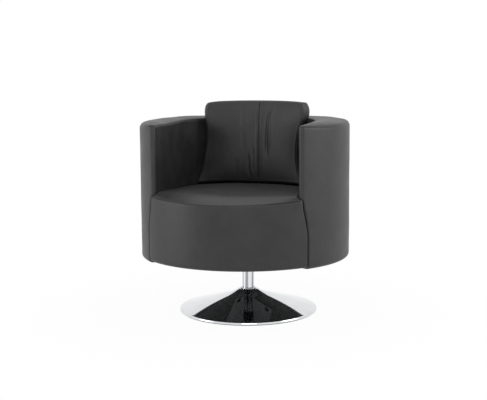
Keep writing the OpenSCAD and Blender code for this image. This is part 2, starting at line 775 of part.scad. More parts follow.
// Leather cover of the cushion, open along its foot for the zip
module cushion_cover() color(leather)
    at_cushion() polyhedron(
        points = concat(cushion_points(0), cushion_points(cover_t)),
        faces = concat(cushion_faces(true), shifted(cushion_faces(true), layer_n), zip_rim()));

// Side end of the zip's slot, where the cover's inner face narrows it most
zip_x = cushion_x(column_shares[zip_from], -1, cover_t);

// Zip in the slot along the cushion's foot
module cushion_zip() color([0.05, 0.05, 0.05])
    at_cushion() translate([zip_x + bore_gap, bore_gap - zip_w / 2, bore_gap])
        cube([-2 * (zip_x + bore_gap), zip_w - 2 * bore_gap, zip_t]);

trumpet_shell();
ballast_plate();
floor_ring();
foot_plug();
foot_washer();
foot_nut();
column_tube();
neck_collar();
lower_bush();
upper_bush();
lower_race();
ball_cage();
bearing_balls();
upper_race();
spindle();
circlip();
swivel_plate();
plate_bolts();
plate_washers();
tee_nuts();
bottom_board();
dust_cover();
bottom_rail();
top_rail();
wall_studs();
outer_skin();
inner_skin();
tub_padding();
tub_cover();
front_skin();
seat_bearers();
seat_deck();
seat_foam();
seat_cover();
seat_welt();
cushion_fill();
cushion_cover();
cushion_zip();
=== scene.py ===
from math import cos, pi, radians, sin, sqrt, tan

import bmesh
import bpy
import numpy as np
from mathutils import Matrix, Vector
from mathutils.kdtree import KDTree


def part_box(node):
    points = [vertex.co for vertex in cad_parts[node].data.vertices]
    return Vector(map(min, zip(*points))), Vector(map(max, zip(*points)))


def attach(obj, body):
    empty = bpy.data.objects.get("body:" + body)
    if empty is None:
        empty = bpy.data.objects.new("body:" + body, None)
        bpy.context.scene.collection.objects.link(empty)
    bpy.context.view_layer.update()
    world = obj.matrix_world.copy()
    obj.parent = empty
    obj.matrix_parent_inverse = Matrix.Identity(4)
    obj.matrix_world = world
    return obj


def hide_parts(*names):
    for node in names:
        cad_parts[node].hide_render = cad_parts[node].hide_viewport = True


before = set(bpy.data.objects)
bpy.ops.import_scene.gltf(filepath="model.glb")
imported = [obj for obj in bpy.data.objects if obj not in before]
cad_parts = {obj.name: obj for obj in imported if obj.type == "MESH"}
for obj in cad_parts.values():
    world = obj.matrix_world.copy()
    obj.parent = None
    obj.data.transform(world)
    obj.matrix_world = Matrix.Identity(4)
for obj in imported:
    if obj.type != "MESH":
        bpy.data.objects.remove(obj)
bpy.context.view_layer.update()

# A round tub armchair in charcoal leather, with a loose back cushion, on a chromed trumpet base.
# Metres, Z up. The sitter faces -Y, and the floor is z = 0.

mm = 0.001

# Upholstered tub
tub_low, tub_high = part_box("tub_cover")
tub_r = tub_high.x
foot_z = tub_low.z
rim_z = tub_high.z
wall_t = 119 * mm              # thickness of the padded wall
well_r = tub_r - wall_t
tip_r = 12 * mm                # rounding, in plan, of the arm's narrow tip
tip_x = well_r + tip_r
tip_y = -sqrt((tub_r - tip_r) ** 2 - tip_x ** 2)
foot_round = 12 * mm
rim_round = 18 * mm            # rounding of the rim's outer edge
inner_rim_round = 11 * mm      # rounding of its inner edge and of the arm's tip
rim_blend = 90 * mm            # length over which the outer rim's rounding tightens towards the arm's tip
rim_crown = 5 * mm             # how far the rim's padding stands up between its edges
tip_crown = 0.3 * mm           # how far it stands up at the arm's tip
rim_wrinkle = 0.7 * mm         # unevenness of the rim's padding
back_rise = 5 * mm             # how much fuller the padding is at the back of the rim than at the arms
rim_groove = 2.0 * mm          # depth of the seam round the rim's outer and inner edges
rim_groove_at = 27             # place of that seam on the edge's rounding, in degrees above its side
rim_groove_spread = 4.5        # its half width, in degrees
turn_in = 22 * mm              # leather turned in under the tub
board_pocket = 4 * mm          # hidden leather ends this far above the bottom board's underside
cover_swell = 0.5 * mm         # unevenness of the stretched cover
board_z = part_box("bottom_board")[0].z

# Seam between the front panel and each arm
seam_angle = radians(48.4)     # from the front, on the upright part
seam_low_z = 305 * mm          # up to here the seam is upright
seam_high_z = 419 * mm         # here it reaches the front of the arm's tip
seam_end = 8.5 * mm            # how far round the arm's tip the seam ends
seam_bend = 1.3                # power by which its slant curves between the two
seam_gap = 3 * mm              # the two covers stand this far apart
seam_roll = 5 * mm             # rounding of the leather into the seam
seam_top_roll = 3.5 * mm       # how much larger that rounding gets towards the seam's top
seam_soft_z = 330 * mm         # it starts to get larger here
seam_soft_reach = 70 * mm      # and has done so this much higher
seam_tuck = 9 * mm             # how far the hidden leather goes in behind the seam
seam_reach = 60 * mm           # how far before the seam, and past the arm's tip, the mesh follows its slant
tip_depth = 10 * mm            # how far in the hidden leather may go at the arm's narrow tip
panel_depth = 50 * mm          # and in front of the seam, where the wall is thick
back_seam = 1.4 * mm           # depth of the upright seam in the middle of the tub's back
back_seam_width = 1.6 * mm     # its half width

# Seat
seat_top_z = 430 * mm          # height of the front edge at the middle plane
crown_r = 3000 * mm            # the front edge's height falls forwards on this radius
seat_side_roll = 7 * mm        # rounding where the seat goes down beside the tub's lining
seat_edge_round = 3 * mm       # rounding of the seat's front edge, under the piping
seat_middle_z = 433 * mm       # height of the padded seat's middle
seat_dish = 2.4                # power by which its height changes from the middle to the sides
edge_bend = 2.2                # power by which its top bends to the height of the front edge
panel_lift = 5 * mm            # the front panel's foot is this much higher than the arms' feet
panel_back_r = 341 * mm        # radius of the front panel's hidden inner side
edge_reach = 85 * mm           # the top bends down to the front edge over this length at the middle
edge_reach_loss = 55 * mm      # and over this much less at the sides
cushion_press = 6.8 * mm       # how far the cushion presses the seat down
cushion_press_y = 70 * mm      # from here backwards
cushion_press_reach = 22 * mm   # and fully so this much further back
seat_side_gap = 0.3 * mm       # between the seat and the tub's lining
piping_r = 1.7 * mm
piping_up = 0.9 * mm           # the piping's middle lies this much above the front edge
deck_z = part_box("seat_deck")[1].z

# Back cushion
cushion_h = 291 * mm
cushion_band = 52 * mm
cushion_lean = radians(3)
cushion_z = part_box("cushion_cover")[0].z
zip_low, zip_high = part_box("cushion_zip")
cushion_back_y = (zip_low.y + zip_high.y) / 2 + cushion_band / 2

# Swivel
column_low, column_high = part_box("column_tube")
swivel_y = column_low.y + (column_high.y - column_low.y) / 2


def linear(hex_colour):
    """A colour given as sRGB hex, as the linear values that a shader takes."""
    parts = [int(hex_colour[i:i + 2], 16) / 255 for i in (1, 3, 5)]
    return [c / 12.92 if c <= 0.04045 else ((c + 0.055) / 1.055) ** 2.4 for c in parts] + [1.0]


def add(tree, kind, sockets=None, **settings):
    """Adds a node. Settings are its properties. Sockets take a plain value, another node's output, or
    another node, whose first output is meant."""
    node = tree.nodes.new(kind)
    for name, value in settings.items():
        setattr(node, name, value)
    for name, value in (sockets or {}).items():
        if isinstance(value, bpy.types.Node):
            value = value.outputs[0]
        if isinstance(value, bpy.types.NodeSocket):
            tree.links.new(value, node.inputs[name])
        else:
            node.inputs[name].default_value = value
    return node


def ramp(tree, factor, stops):
    """A colour ramp from (place, hex colour) stops."""
    node = add(tree, "ShaderNodeValToRGB", {"Fac": factor})
    while len(node.color_ramp.elements) < len(stops):
        node.color_ramp.elements.new(0.5)
    for element, (place, colour) in zip(node.color_ramp.elements, stops):
        element.position = place
        element.color = linear(colour)
    return node.outputs["Color"]


def noise(tree, where, size, detail, **more):
    """A noise pattern with features of a size in metres."""
    sockets = {"Vector": where, "Scale": 1 / size, "Detail": detail, **more}
    return add(tree, "ShaderNodeTexNoise", sockets).outputs["Fac"]


def bands(tree, where, width, way, **more):
    """Light and dark bands in turn along one axis, each about a width in metres."""
    sockets = {"Vector": where, "Scale": 1 / (6 * width), **more}
    return add(tree, "ShaderNodeTexWave", sockets, bands_direction=way).outputs["Fac"]


def stretched(tree, where, scale):
    """Coordinates scaled along each axis."""
    return add(tree, "ShaderNodeMapping", {"Vector": where, "Scale": scale}).outputs["Vector"]


def spread(tree, value, low, high, start=0.0, end=1.0, **settings):
    """A pattern's values from start to end, spread from low to high."""
    sockets = {"Value": value, "From Min": start, "From Max": end, "To Min": low, "To Max": high}
    return add(tree, "ShaderNodeMapRange", sockets, **settings).outputs["Result"]


def relief(tree, height, strength, depth, **under):
    """A surface normal from a pattern's height, on top of another relief's Normal if one is given."""
    sockets = {"Strength": strength, "Distance": depth, "Height": height, **under}
    return add(tree, "ShaderNodeBump", sockets).outputs["Normal"]


def maths(tree, operation, first, second):
    """Two numbers or outputs put together by one operation."""
    return add(tree, "ShaderNodeMath", {0: first, 1: second}, operation=operation).outputs[0]


def cleared_tree(owner):
    """The empty node tree of a material or a world."""
    owner.use_nodes = True
    owner.node_tree.nodes.clear()
    return owner.node_tree


def new_material(name):
    """An empty material with its Object coordinates and its shader."""
    material = bpy.data.materials.new(name)
    tree = cleared_tree(material)
    where = add(tree, "ShaderNodeTexCoord").outputs["Object"]
    shader = add(tree, "ShaderNodeBsdfPrincipled")
    add(tree, "ShaderNodeOutputMaterial", {"Surface": shader})
    return material, tree, where, shader


def give(tree, shader, **sockets):
    """Sets or links the shader's own sockets, named with underscores for spaces."""
    for name, value in sockets.items():
        socket = shader.inputs[name.replace("_", " ")]
        if isinstance(value, bpy.types.NodeSocket):
            tree.links.new(value, socket)
        else:
            socket.default_value = value


def corrected_leather():
    # Corrected-grain cowhide, dyed through, pigmented charcoal black and embossed with a fine pebble.
    # The pigment coat gives a broad, soft sheen. The pebbles are about 1 mm across, and the hide
    # keeps slow changes of tone and gloss over 30 to 60 mm, which is what shows from a few steps away.
    material, tree, where, shader = new_material("charcoal_leather")
    pebble_size = 1.1 * mm
    pebbles = add(tree, "ShaderNodeTexVoronoi", {"Vector": where, "Scale": 1 / pebble_size},
                  feature="DISTANCE_TO_EDGE").outputs["Distance"]
    hide = noise(tree, where, 60 * mm, 4.0)
    waves = noise(tree, where, 28 * mm, 2.0)
    tone = ramp(tree, hide, [(0.3, "#2a2a2c"), (0.7, "#353537")])
    # Painted shade: the colour is darkened in the valleys between the pebbles
    pebble_valley_shade = ramp(tree, pebbles, [(0.0, "#8c8c8c"), (0.12, "#ffffff")])
    # Sockets 6 and 7 are the mix node's two colours, and output 2 is the mixed colour
    colour = add(tree, "ShaderNodeMix", {"Factor": 1.0, 6: tone, 7: pebble_valley_shade},
                 data_type="RGBA", blend_type="MULTIPLY").outputs[2]
    soft = relief(tree, waves, 0.5, 1.2 * mm)
    give(tree, shader, Base_Color=colour, Roughness=spread(tree, hide, 0.42, 0.52, 0.3, 0.7),
         Normal=relief(tree, pebbles, 0.35, 0.12 * mm, Normal=soft), IOR=1.45)
    return material


def bright_chrome():
    # Bright nickel-chrome plate on spun and buffed mild steel: a nearly perfect mirror, faintly blue-grey.
    # The spinning leaves very slow waves, and the buffing leaves a haze too fine to see as lines.
    material, tree, where, shader = new_material("bright_chrome")
    waves = noise(tree, where, 45 * mm, 1.0)
    haze = noise(tree, where, 3 * mm, 3.0)
    give(tree, shader, Base_Color=ramp(tree, waves, [(0.3, "#d5d7da"), (0.7, "#dcdee0")]), Metallic=1.0,
         Roughness=spread(tree, haze, 0.02, 0.06), Normal=relief(tree, waves, 0.15, 0.05 * mm))
    return material


def drawn_chrome():
    # Chrome plate on a drawn steel tube: a mirror with soft lengthwise draw lines, a few millimetres apart,
    # which roughen and ripple it. Along them the colour is greyer: a painted reflection of lengthwise
    # streaks.
    material, tree, where, shader = new_material("drawn_tube_chrome")
    draw_lines_and_painted_streaks = noise(tree, stretched(tree, where, (1.0, 1.0, 0.02)), 7 * mm, 2.0, Roughness=0.45)
    # Painted reflection: grey lengthwise streaks in the chrome's colour
    tone = ramp(tree, draw_lines_and_painted_streaks, [(0.36, "#8f9296"), (0.5, "#cfd1d4"), (0.62, "#eceef0")])
    give(tree, shader, Base_Color=tone, Metallic=1.0, Roughness=spread(tree, draw_lines_and_painted_streaks, 0.03, 0.09),
         Normal=relief(tree, draw_lines_and_painted_streaks, 0.2, 0.05 * mm))
    return material


def zinc_plate(name="zinc_plated_steel", dark="#9a9ca0", light="#b9bbbf", roughness=(0.25, 0.42)):
    # Turned steel with bright zinc plate: grey, slightly cloudy, with fine turning marks.
    material, tree, where, shader = new_material(name)
    cloud = noise(tree, where, 4 * mm, 5.0)
    marks = bands(tree, where, 0.5 * mm, "Z", Distortion=1.0)
    give(tree, shader, Base_Color=ramp(tree, cloud, [(0.3, dark), (0.7, light)]), Metallic=1.0,
         Roughness=spread(tree, cloud, *roughness), Normal=relief(tree, marks, 0.2, 0.03 * mm))
    return material


def grainy(name, dark, light, grain, depth, roughness, metallic=0.0):
    """A dull material with an even, random grain: its size and depth in metres."""
    material, tree, where, shader = new_material(name)
    texture = noise(tree, where, grain, 5.0, Roughness=0.6)
    give(tree, shader, Base_Color=ramp(tree, texture, [(0.3, dark), (0.7, light)]), Metallic=metallic,
         Roughness=spread(tree, texture, roughness - 0.06, roughness + 0.06),
         Normal=relief(tree, texture, 0.6, depth))
    return material


def birch_plywood(name="birch_plywood", dark="#c39d6c", light="#dcbf93"):
    # Rotary-cut birch plywood, sanded and unfinished: pale, with a wide wavy figure and 1.4 mm plies.
    material, tree, where, shader = new_material(name)
    figure = noise(tree, stretched(tree, where, (3.0, 18.0, 18.0)), 400 * mm, 6.0, Distortion=0.6)
    plies = maths(tree, "MULTIPLY", bands(tree, where, 1.4 * mm, "Z"), 0.12)
    tone = ramp(tree, maths(tree, "ADD", figure, plies), [(0.35, dark), (0.75, light)])
    give(tree, shader, Base_Color=tone, Roughness=0.62, Normal=relief(tree, figure, 0.2, 0.1 * mm))
    return material


def beech_batten():
    # Planed beech: warm pinkish brown, with short dark flecks along the grain.
    material, tree, where, shader = new_material("planed_beech")
    flecks = noise(tree, stretched(tree, where, (1.0, 1.0, 0.12)), 2.5 * mm, 4.0)
    give(tree, shader, Base_Color=ramp(tree, flecks, [(0.3, "#a9794f"), (0.6, "#c99a6c")]), Roughness=0.6,
         Normal=relief(tree, flecks, 0.2, 0.1 * mm))
    return material


def woven_cloth(name, dark, light, thread):
    """A cloth whose threads, or spots, of a width in metres, lie over and under in turn."""
    material, tree, where, shader = new_material(name)
    weave = maths(tree, "MULTIPLY", bands(tree, where, thread, "X"), bands(tree, where, thread, "Y"))
    give(tree, shader, Base_Color=ramp(tree, weave, [(0.0, dark), (1.0, light)]), Roughness=0.85,
         Normal=relief(tree, weave, 0.7, thread / 4), Sheen_Weight=0.15, Sheen_Roughness=0.5)
    return material


leather = corrected_leather()
chrome = bright_chrome()
column_chrome = drawn_chrome()
zinc = zinc_plate()
# Hardened, ground bearing steel: brighter and finer than the zinc-plated pieces.
bearing_steel = zinc_plate("ground_bearing_steel", "#b4b6b9", "#cfd1d4", (0.12, 0.22))
# At the column's head, black nylon and oiled steel, because the base mirrors these pieces.
black_nylon = grainy("black_nylon", "#141415", "#1f1f21", 1.2 * mm, 0.04 * mm, 0.45)
oiled_steel = zinc_plate("oiled_bearing_steel", "#2a2a2c", "#3a3a3d", (0.3, 0.4))
# Black powder coat on steel: a tight orange-peel texture, half matt.
powder_coat = grainy("black_powder_coat", "#0f0f10", "#1b1b1d", 0.9 * mm, 0.06 * mm, 0.45)
# Raw grey iron casting, painted thin black: coarse sand texture.
cast_iron = grainy("painted_cast_iron", "#1b1b1c", "#2e2e30", 1.6 * mm, 0.35 * mm, 0.6, 0.4)
# Moulded black rubber: dull, with a faint grey bloom.
rubber = grainy("moulded_rubber", "#101011", "#1d1d1e", 2.2 * mm, 0.08 * mm, 0.7)
# Turned natural nylon: milky white, waxy.
nylon = grainy("natural_nylon", "#ddd8cb", "#ece8dc", 1.2 * mm, 0.04 * mm, 0.4)
plywood = birch_plywood()
# The board that shows from below is the same plywood, stained black: the figure only just shows.
stained_plywood = birch_plywood("black_stained_plywood", "#0d0d0d", "#191817")
# Bolts with black passivated zinc: dark grey with a low metallic sheen.
black_zinc = zinc_plate("black_passivated_zinc", "#1f1f21", "#303033", (0.35, 0.5))
beech = beech_batten()
# Spun-bonded polypropylene under-cloth: black, thin and dull, embossed with spots about 1 mm across.
undercloth = woven_cloth("spunbond_undercloth", "#0c0c0d", "#111112", 1.1 * mm)
# Woven nylon zip tape: black, finer than the under-cloth's embossing.
zip_tape = woven_cloth("zip_tape", "#0c0c0d", "#1c1c1e", 0.6 * mm)

CAD_FINISHES = {
    "ballast_plate": cast_iron, "floor_ring": rubber, "foot_plug": zinc, "foot_washer": zinc,
    "foot_nut": zinc, "lower_bush": nylon, "upper_bush": black_nylon, "lower_race": oiled_steel,
    "ball_cage": black_nylon, "bearing_balls": bearing_steel, "upper_race": oiled_steel,
    "spindle": bearing_steel, "circlip": powder_coat, "swivel_plate": powder_coat,
    "plate_bolts": black_zinc, "plate_washers": black_zinc, "tee_nuts": zinc,
    "bottom_board": stained_plywood, "bottom_rail": plywood, "top_rail": plywood, "wall_studs": beech,
    "outer_skin": plywood, "inner_skin": plywood, "front_skin": plywood, "seat_bearers": beech,
    "seat_deck": plywood, "cushion_zip": zip_tape,
}
for node_name, finish in CAD_FINISHES.items():
    node_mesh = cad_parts[node_name].data
    node_mesh.materials.clear()
    node_mesh.materials.append(finish)


def linked(name, data):
    """A new object in the scene, at the origin."""
    piece = bpy.data.objects.new(name, data)
    bpy.context.scene.collection.objects.link(piece)
    return piece


def close_mesh(mesh, weld):
    """Merges doubles, shades smooth and turns the faces outwards, by the volume that they enclose."""
    shape = bmesh.new()
    shape.from_mesh(mesh)
    bmesh.ops.remove_doubles(shape, verts=shape.verts, dist=weld)
    bmesh.ops.dissolve_degenerate(shape, edges=shape.edges, dist=weld / 4)
    bmesh.ops.recalc_face_normals(shape, faces=shape.faces)
    if shape.calc_volume(signed=True) < 0:
        bmesh.ops.reverse_faces(shape, faces=shape.faces)
    for face in shape.faces:
        face.smooth = True
    shape.to_mesh(mesh)
    shape.free()


def make_piece(name, points, faces, material):
    """A closed, smooth piece from points and faces."""
    mesh = bpy.data.meshes.new(name)
    mesh.from_pydata([tuple(p) for p in points], [], [tuple(f) for f in faces])
    close_mesh(mesh, 0.02 * mm)
    mesh.materials.append(material)
    return linked(name, mesh)


def sheet_faces(rows, columns, first=0, ring=False):
    """Quads between neighbouring points of a grid that is stored row by row."""
    faces = []
    for j in range(rows - 1):
        for i in range(columns if ring else columns - 1):
            a = first + j * columns + i
            b = first + j * columns + (i + 1) % columns
            faces.append((a, b, b + columns, a + columns))
    return faces


def smooth_step(t):
    """A rise from 0 to 1 that starts and ends level."""
    t = np.clip(t, 0, 1)
    return t * t * (3 - 2 * t)


def bell(distance, width):
    """A soft bump of height 1, about as wide as twice its width."""
    return np.exp(-(distance / width) ** 2)


def rolled(distance, radius):
    """How far a surface has rolled away, on a radius, at a distance from its edge."""
    near = np.clip(radius - distance, 0, radius)
    return radius - np.sqrt(np.maximum(radius ** 2 - near ** 2, 0))


# Plan of the tub's wall, followed from the middle of its back, round its outer face to one arm's tip,
# round the tip, and back along the lining to the middle of the back.
outer_end = np.arctan2(tip_y, tip_x)
outer_length = tub_r * (pi / 2 - outer_end)
tip_turn = pi + outer_end
tip_length = tip_r * tip_turn
straight_length = -tip_y
lining_length = straight_length + well_r * pi / 2


def wall_plan(s):
    """Points and outward normals on one half of the wall's plan, at distances s along it."""
    s = np.asarray(s, float)
    outer = pi / 2 - s / tub_r
    round_tip = outer_end - (s - outer_length) / tip_r
    along = s - outer_length - tip_length
    inner = (along - straight_length) / well_r
    parts = [s <= outer_length, along <= 0, along <= straight_length]
    x = np.select(parts, [tub_r * np.cos(outer), tip_x + tip_r * np.cos(round_tip), well_r],
                  well_r * np.cos(inner))
    y = np.select(parts, [tub_r * np.sin(outer), tip_y + tip_r * np.sin(round_tip), tip_y + along],
                  well_r * np.sin(inner))
    nx = np.select(parts, [np.cos(outer), np.cos(round_tip), -1.0], -np.cos(inner))
    ny = np.select(parts, [np.sin(outer), np.sin(round_tip), 0.0], -np.sin(inner))
    return x, y, nx, ny


seam_s = tub_r * (pi - seam_angle)                    # the upright seam's place along the plan
seam_top_s = outer_length + seam_end                  # its place where it ends on the arm's tip


def seam_place(z):
    """Place of the seam along the plan at a height: upright, then drawn in round the arm's tip."""
    t = np.clip((z - seam_low_z) / (seam_high_z - seam_low_z), 0, 1)
    return seam_s + (seam_top_s - seam_s) * t ** seam_bend


def seam_rounding(z):
    """Radius with which the leather turns into the seam at a height."""
    return seam_roll + seam_top_roll * smooth_step((z - seam_soft_z) / seam_soft_reach)


def hide_tone(a, b):
    """A slow, slight unevenness of stretched leather, from about -1 to 1, at two lengths in metres."""
    return (0.5 * np.sin(a / (61 * mm) + 1.7 * np.sin(b / (97 * mm))) +
            0.3 * np.sin(b / (43 * mm) + 1.1 * np.sin(a / (71 * mm) + 0.6)) +
            0.2 * np.sin((a + 1.3 * b) / (23 * mm)))


def tub_half():
    """Points and faces of the tub's right half, as one closed skin but for its cut in the middle plane."""
    # Columns of the outer face, close together at the back's seam and towards the panel's seam
    far = np.concatenate([np.array([0, 0.6, 1.3, 2.2, 3.4, 5, 7, 10]) * mm,
                          np.linspace(15 * mm, seam_s - seam_reach, 88, endpoint=False)])
    near = seam_s - seam_reach * (1 - np.linspace(0, 1, 52)) ** 1.15
    last = np.linspace(seam_s, outer_length, 7)[1:]
    outer_s = np.concatenate([far, near, last])
    share = outer_s / outer_length
    inner_s = outer_length + tip_length + lining_length * (1 - share)
    tip_s = outer_length + np.linspace(0, tip_length, 19)[1:-1]
    base_s = np.concatenate([outer_s, tip_s, inner_s[::-1]])
    n_outer, n_tip = len(outer_s), len(tip_s)

    foot_angles = np.linspace(0, pi / 2, 9)
    # Rows of the side, close together where the seam slants
    side_z = np.concatenate([np.linspace(foot_z + foot_round, 300 * mm, 10),
                             np.linspace(306 * mm, 426 * mm, 31),
                             np.linspace(436 * mm, rim_z - rim_crown - rim_round - 1 * mm, 20)])
    rim_degrees = np.array([0, 8, 15, 20, 24, 27, 30, 34, 39, 46, 56, 67, 79, 90])
    groove = rim_groove * bell(rim_degrees - rim_groove_at, rim_groove_spread)

    toward_tip = smooth_step((base_s - (outer_length - rim_blend)) / rim_blend)
    rim = rim_round + (inner_rim_round - rim_round) * toward_tip
    # Both edges of the rim are lower than its padded middle, which comes down to them at the arm's tip
    crown = rim_crown * (1 - smooth_step((outer_s - (outer_length - rim_blend)) / rim_blend))
    # Behind the seam, the wall's foot is hidden and ends inside the bottom board
    lift = (panel_lift * smooth_step((base_s - seam_s - 1 * mm) / (3 * mm)) +
            (board_z + board_pocket - panel_lift - foot_z) *
            smooth_step((base_s - seam_s - seam_tuck) / (8 * mm)))
    # The hidden leather of the arm's narrow tip can't go in further than the middle of the tip
    past_tip = base_s - outer_length - tip_length
    behind_seam = smooth_step((base_s - seam_s) / seam_tuck)
    deepest = tip_depth + np.where(past_tip < 0, (panel_depth - tip_depth) * (1 - behind_seam),
                                   past_tip / 2)

    # The mesh's columns follow the seam's slant, and between these heights go back to their own places
    free_z, free_reach = 450 * mm, 120 * mm
    rows = []

    def add_row(z, inset):
        """Adds a row of points. The height and the inset are one number each, or one for every column."""
        z = np.broadcast_to(np.asarray(z, float), base_s.shape)
        z = z + lift * np.clip(1 - (z - foot_z - foot_round) / (50 * mm), 0, 1)
        pull = np.where(z > seam_high_z, 1 - smooth_step((z - free_z) / free_reach), 1.0)
        target = seam_s + (seam_place(z) - seam_s) * pull
        low, high = seam_s - seam_reach, outer_length + tip_length + seam_reach
        before = low + (base_s - low) / seam_reach * (target - low)
        after = target + (base_s - seam_s) / (high - seam_s) * (high - target)
        s = np.where(base_s < seam_s, np.where(base_s < low, base_s, before),
                     np.where(base_s < high, after, base_s))
        x, y, nx, ny = wall_plan(s)
        # The cover rolls into the seam and goes on behind the front panel, up to the seam's upper end
        hidden = z < seam_high_z + 2 * mm
        gap = seam_place(z) - seam_gap / 2 - s
        roll = seam_rounding(z)
        dip = np.where(gap > 0, rolled(gap, roll), roll + np.clip(-gap, 0, seam_tuck - roll))
        fade = 1 - smooth_step((z - (seam_high_z - 4 * mm)) / (6 * mm))
        inset = np.minimum(inset + np.where(hidden, dip * fade, 0), deepest)
        upright = smooth_step((z - foot_z) / foot_round) * smooth_step((rim_z - rim_crown - z) / rim_round)
        inset = inset + back_seam * bell(s, back_seam_width) * upright
        swell = cover_swell * hide_tone(s, z) * smooth_step((z - foot_z) / (40 * mm))
        inset = inset - np.where(inset > rim_round / 2, 0, swell - cover_swell)
        rows.append(np.stack([x - nx * inset, y - ny * inset, z], axis=1))

    add_row(board_z + board_pocket, foot_round + turn_in)
    add_row(foot_z + 1 * mm, foot_round + turn_in)
    add_row(foot_z, foot_round + turn_in - 1 * mm)
    add_row(foot_z, foot_round + turn_in / 2)
    for a in foot_angles[::-1]:
        add_row(foot_z + foot_round * (1 - np.sin(a)), foot_round * (1 - np.cos(a)))
    for z in side_z[1:]:
        add_row(z, 0.0)
    for a, g in zip(np.radians(rim_degrees), groove):
        add_row(rim_z - rim_crown - rim * (1 - np.sin(a)), rim * (1 - np.cos(a)) + g)
    points = np.concatenate(rows)
    n_rows, n_columns = len(rows), len(base_s)
    faces = sheet_faces(n_rows, n_columns)

    # Top of the rim between its two rounded edges, with a slight crown
    across = np.linspace(0, 1, 11)[1:-1]
    top_first = len(points)
    edge_out = rows[-1][:n_outer]
    edge_in = rows[-1][n_outer + n_tip:][::-1]
    top = []
    for t in across:
        strip = edge_out + (edge_in - edge_out) * t
        uneven = rim_wrinkle * hide_tone(2 * strip[:, 0], 2 * strip[:, 1])
        strip[:, 2] += crown * (4 * t * (1 - t) + uneven / rim_crown)
        top.append(strip)
    top = np.stack(top)
    points = np.concatenate([points, top.reshape(-1, 3)])
    last_row = (n_rows - 1) * n_columns
    out_index = [last_row + i for i in range(n_outer)]
    in_index = [last_row + n_columns - 1 - i for i in range(n_outer)]
    strips = [out_index] + [[top_first + k * n_outer + i for i in range(n_outer)]
                            for k in range(len(across))] + [in_index]
    for upper, lower in zip(strips, strips[1:]):
        for i in range(n_outer - 1):
            faces.append((upper[i], upper[i + 1], lower[i + 1], lower[i]))
    # Small fan that closes the top over the arm's tip
    fan = [last_row + n_outer - 1 + i for i in range(n_tip + 2)]
    cross = [strip[n_outer - 1] for strip in strips]
    centre = len(points)
    points = np.concatenate([points, [[tip_x, tip_y, rim_z - rim_crown + tip_crown]]])
    high_up = smooth_step((points[:, 2] - 500 * mm) / (150 * mm))
    points[:, 2] += back_rise * high_up * smooth_step((points[:, 1] + 150 * mm) / (300 * mm))
    for a, b in list(zip(fan, fan[1:])) + list(zip(cross, cross[1:])):
        faces.append((a, b, centre))
    # Underside, closed behind the turned-in leather
    under_out = list(range(n_outer))
    under_in = [n_columns - 1 - i for i in range(n_outer)]
    for i in range(n_outer - 1):
        faces.append((under_out[i], under_out[i + 1], under_in[i + 1], under_in[i]))
    under_fan = [n_outer - 1 + i for i in range(n_tip + 2)]
    for a, b in zip(under_fan[1:], under_fan[2:]):
        faces.append((under_fan[0], a, b))
    return points, faces


def mirrored(points, faces):
    """The same points and faces with their mirror image across the middle plane."""
    other = points * np.array([-1, 1, 1])
    shifted = [tuple(i + len(points) for i in reversed(face)) for face in faces]
    return np.concatenate([points, other]), faces + shifted


def make_tub():
    """Both halves of the tub, joined in the middle plane."""
    points, faces = mirrored(*tub_half())
    return make_piece("tub_upholstery", points, faces, leather)


def edge_height(y):
    """Height of the seat's front edge at a place y: it follows the crown."""
    return seat_top_z - crown_r + np.sqrt(crown_r ** 2 - y ** 2)


def panel_edge(z):
    """Where the front panel goes into the seam at a height: its angle from the front, and its depth."""
    x, y, nx, ny = wall_plan(seam_place(z))
    x, y = x - nx * seam_rounding(z), y - ny * seam_rounding(z)
    return np.arctan2(x, -y) - seam_gap / 2 / tub_r, tub_r - np.hypot(x, y)


def panel_points(u, z, inset=0.0):
    """Points on the front panel, from shares u of its half width and heights z."""
    angle_edge, depth = panel_edge(z)
    angle = u * angle_edge
    from_edge = tub_r * (angle_edge - np.abs(angle))
    r = tub_r - rolled(from_edge, np.maximum(depth, seam_rounding(z))) - inset
    return np.stack([r * np.sin(angle), -r * np.cos(angle), np.broadcast_to(z, angle.shape)], axis=1)


# Height of the padded seat beside the tub's lining, from the arm's tip backwards, as (y, drop) in mm.
# The drop is below the seat's middle. The photo shows this line.
SIDE_DROPS = [(-247, -2), (-205, 0), (-131, 3), (-53, 8), (0, 10), (97, 13), (231, 14)]


def seat_height(x, y):
    """Height of the seat's top: crowned, rolled at its edges and pressed down by the cushion."""
    at_tip = y < tip_y
    to_side = np.where(at_tip, np.hypot(np.abs(x) - tip_x, y - tip_y) - tip_r,
                       np.where(y < 0, well_r - np.abs(x), well_r - np.hypot(x, y)))
    places, drops = np.array(SIDE_DROPS).T * mm
    share = np.clip(np.abs(x) / well_r, 0, 1)
    z = seat_middle_z - np.interp(y, places, drops) * share ** seat_dish
    z = z - cushion_press * smooth_step((y - cushion_press_y) / cushion_press_reach)
    z = z + cover_swell * hide_tone(x, y)
    to_front = np.maximum(tub_r - seat_edge_round - np.hypot(x, y), 0)
    reach = edge_reach - edge_reach_loss * share ** 3
    near = np.where(y < -100 * mm, np.clip(1 - to_front / reach, 0, 1), 0) ** edge_bend
    z = z + (edge_height(-np.sqrt(np.maximum(tub_r ** 2 - x ** 2, 0))) - z) * near
    return z - rolled(np.maximum(to_side, 0), seat_side_roll) * (1 - near)


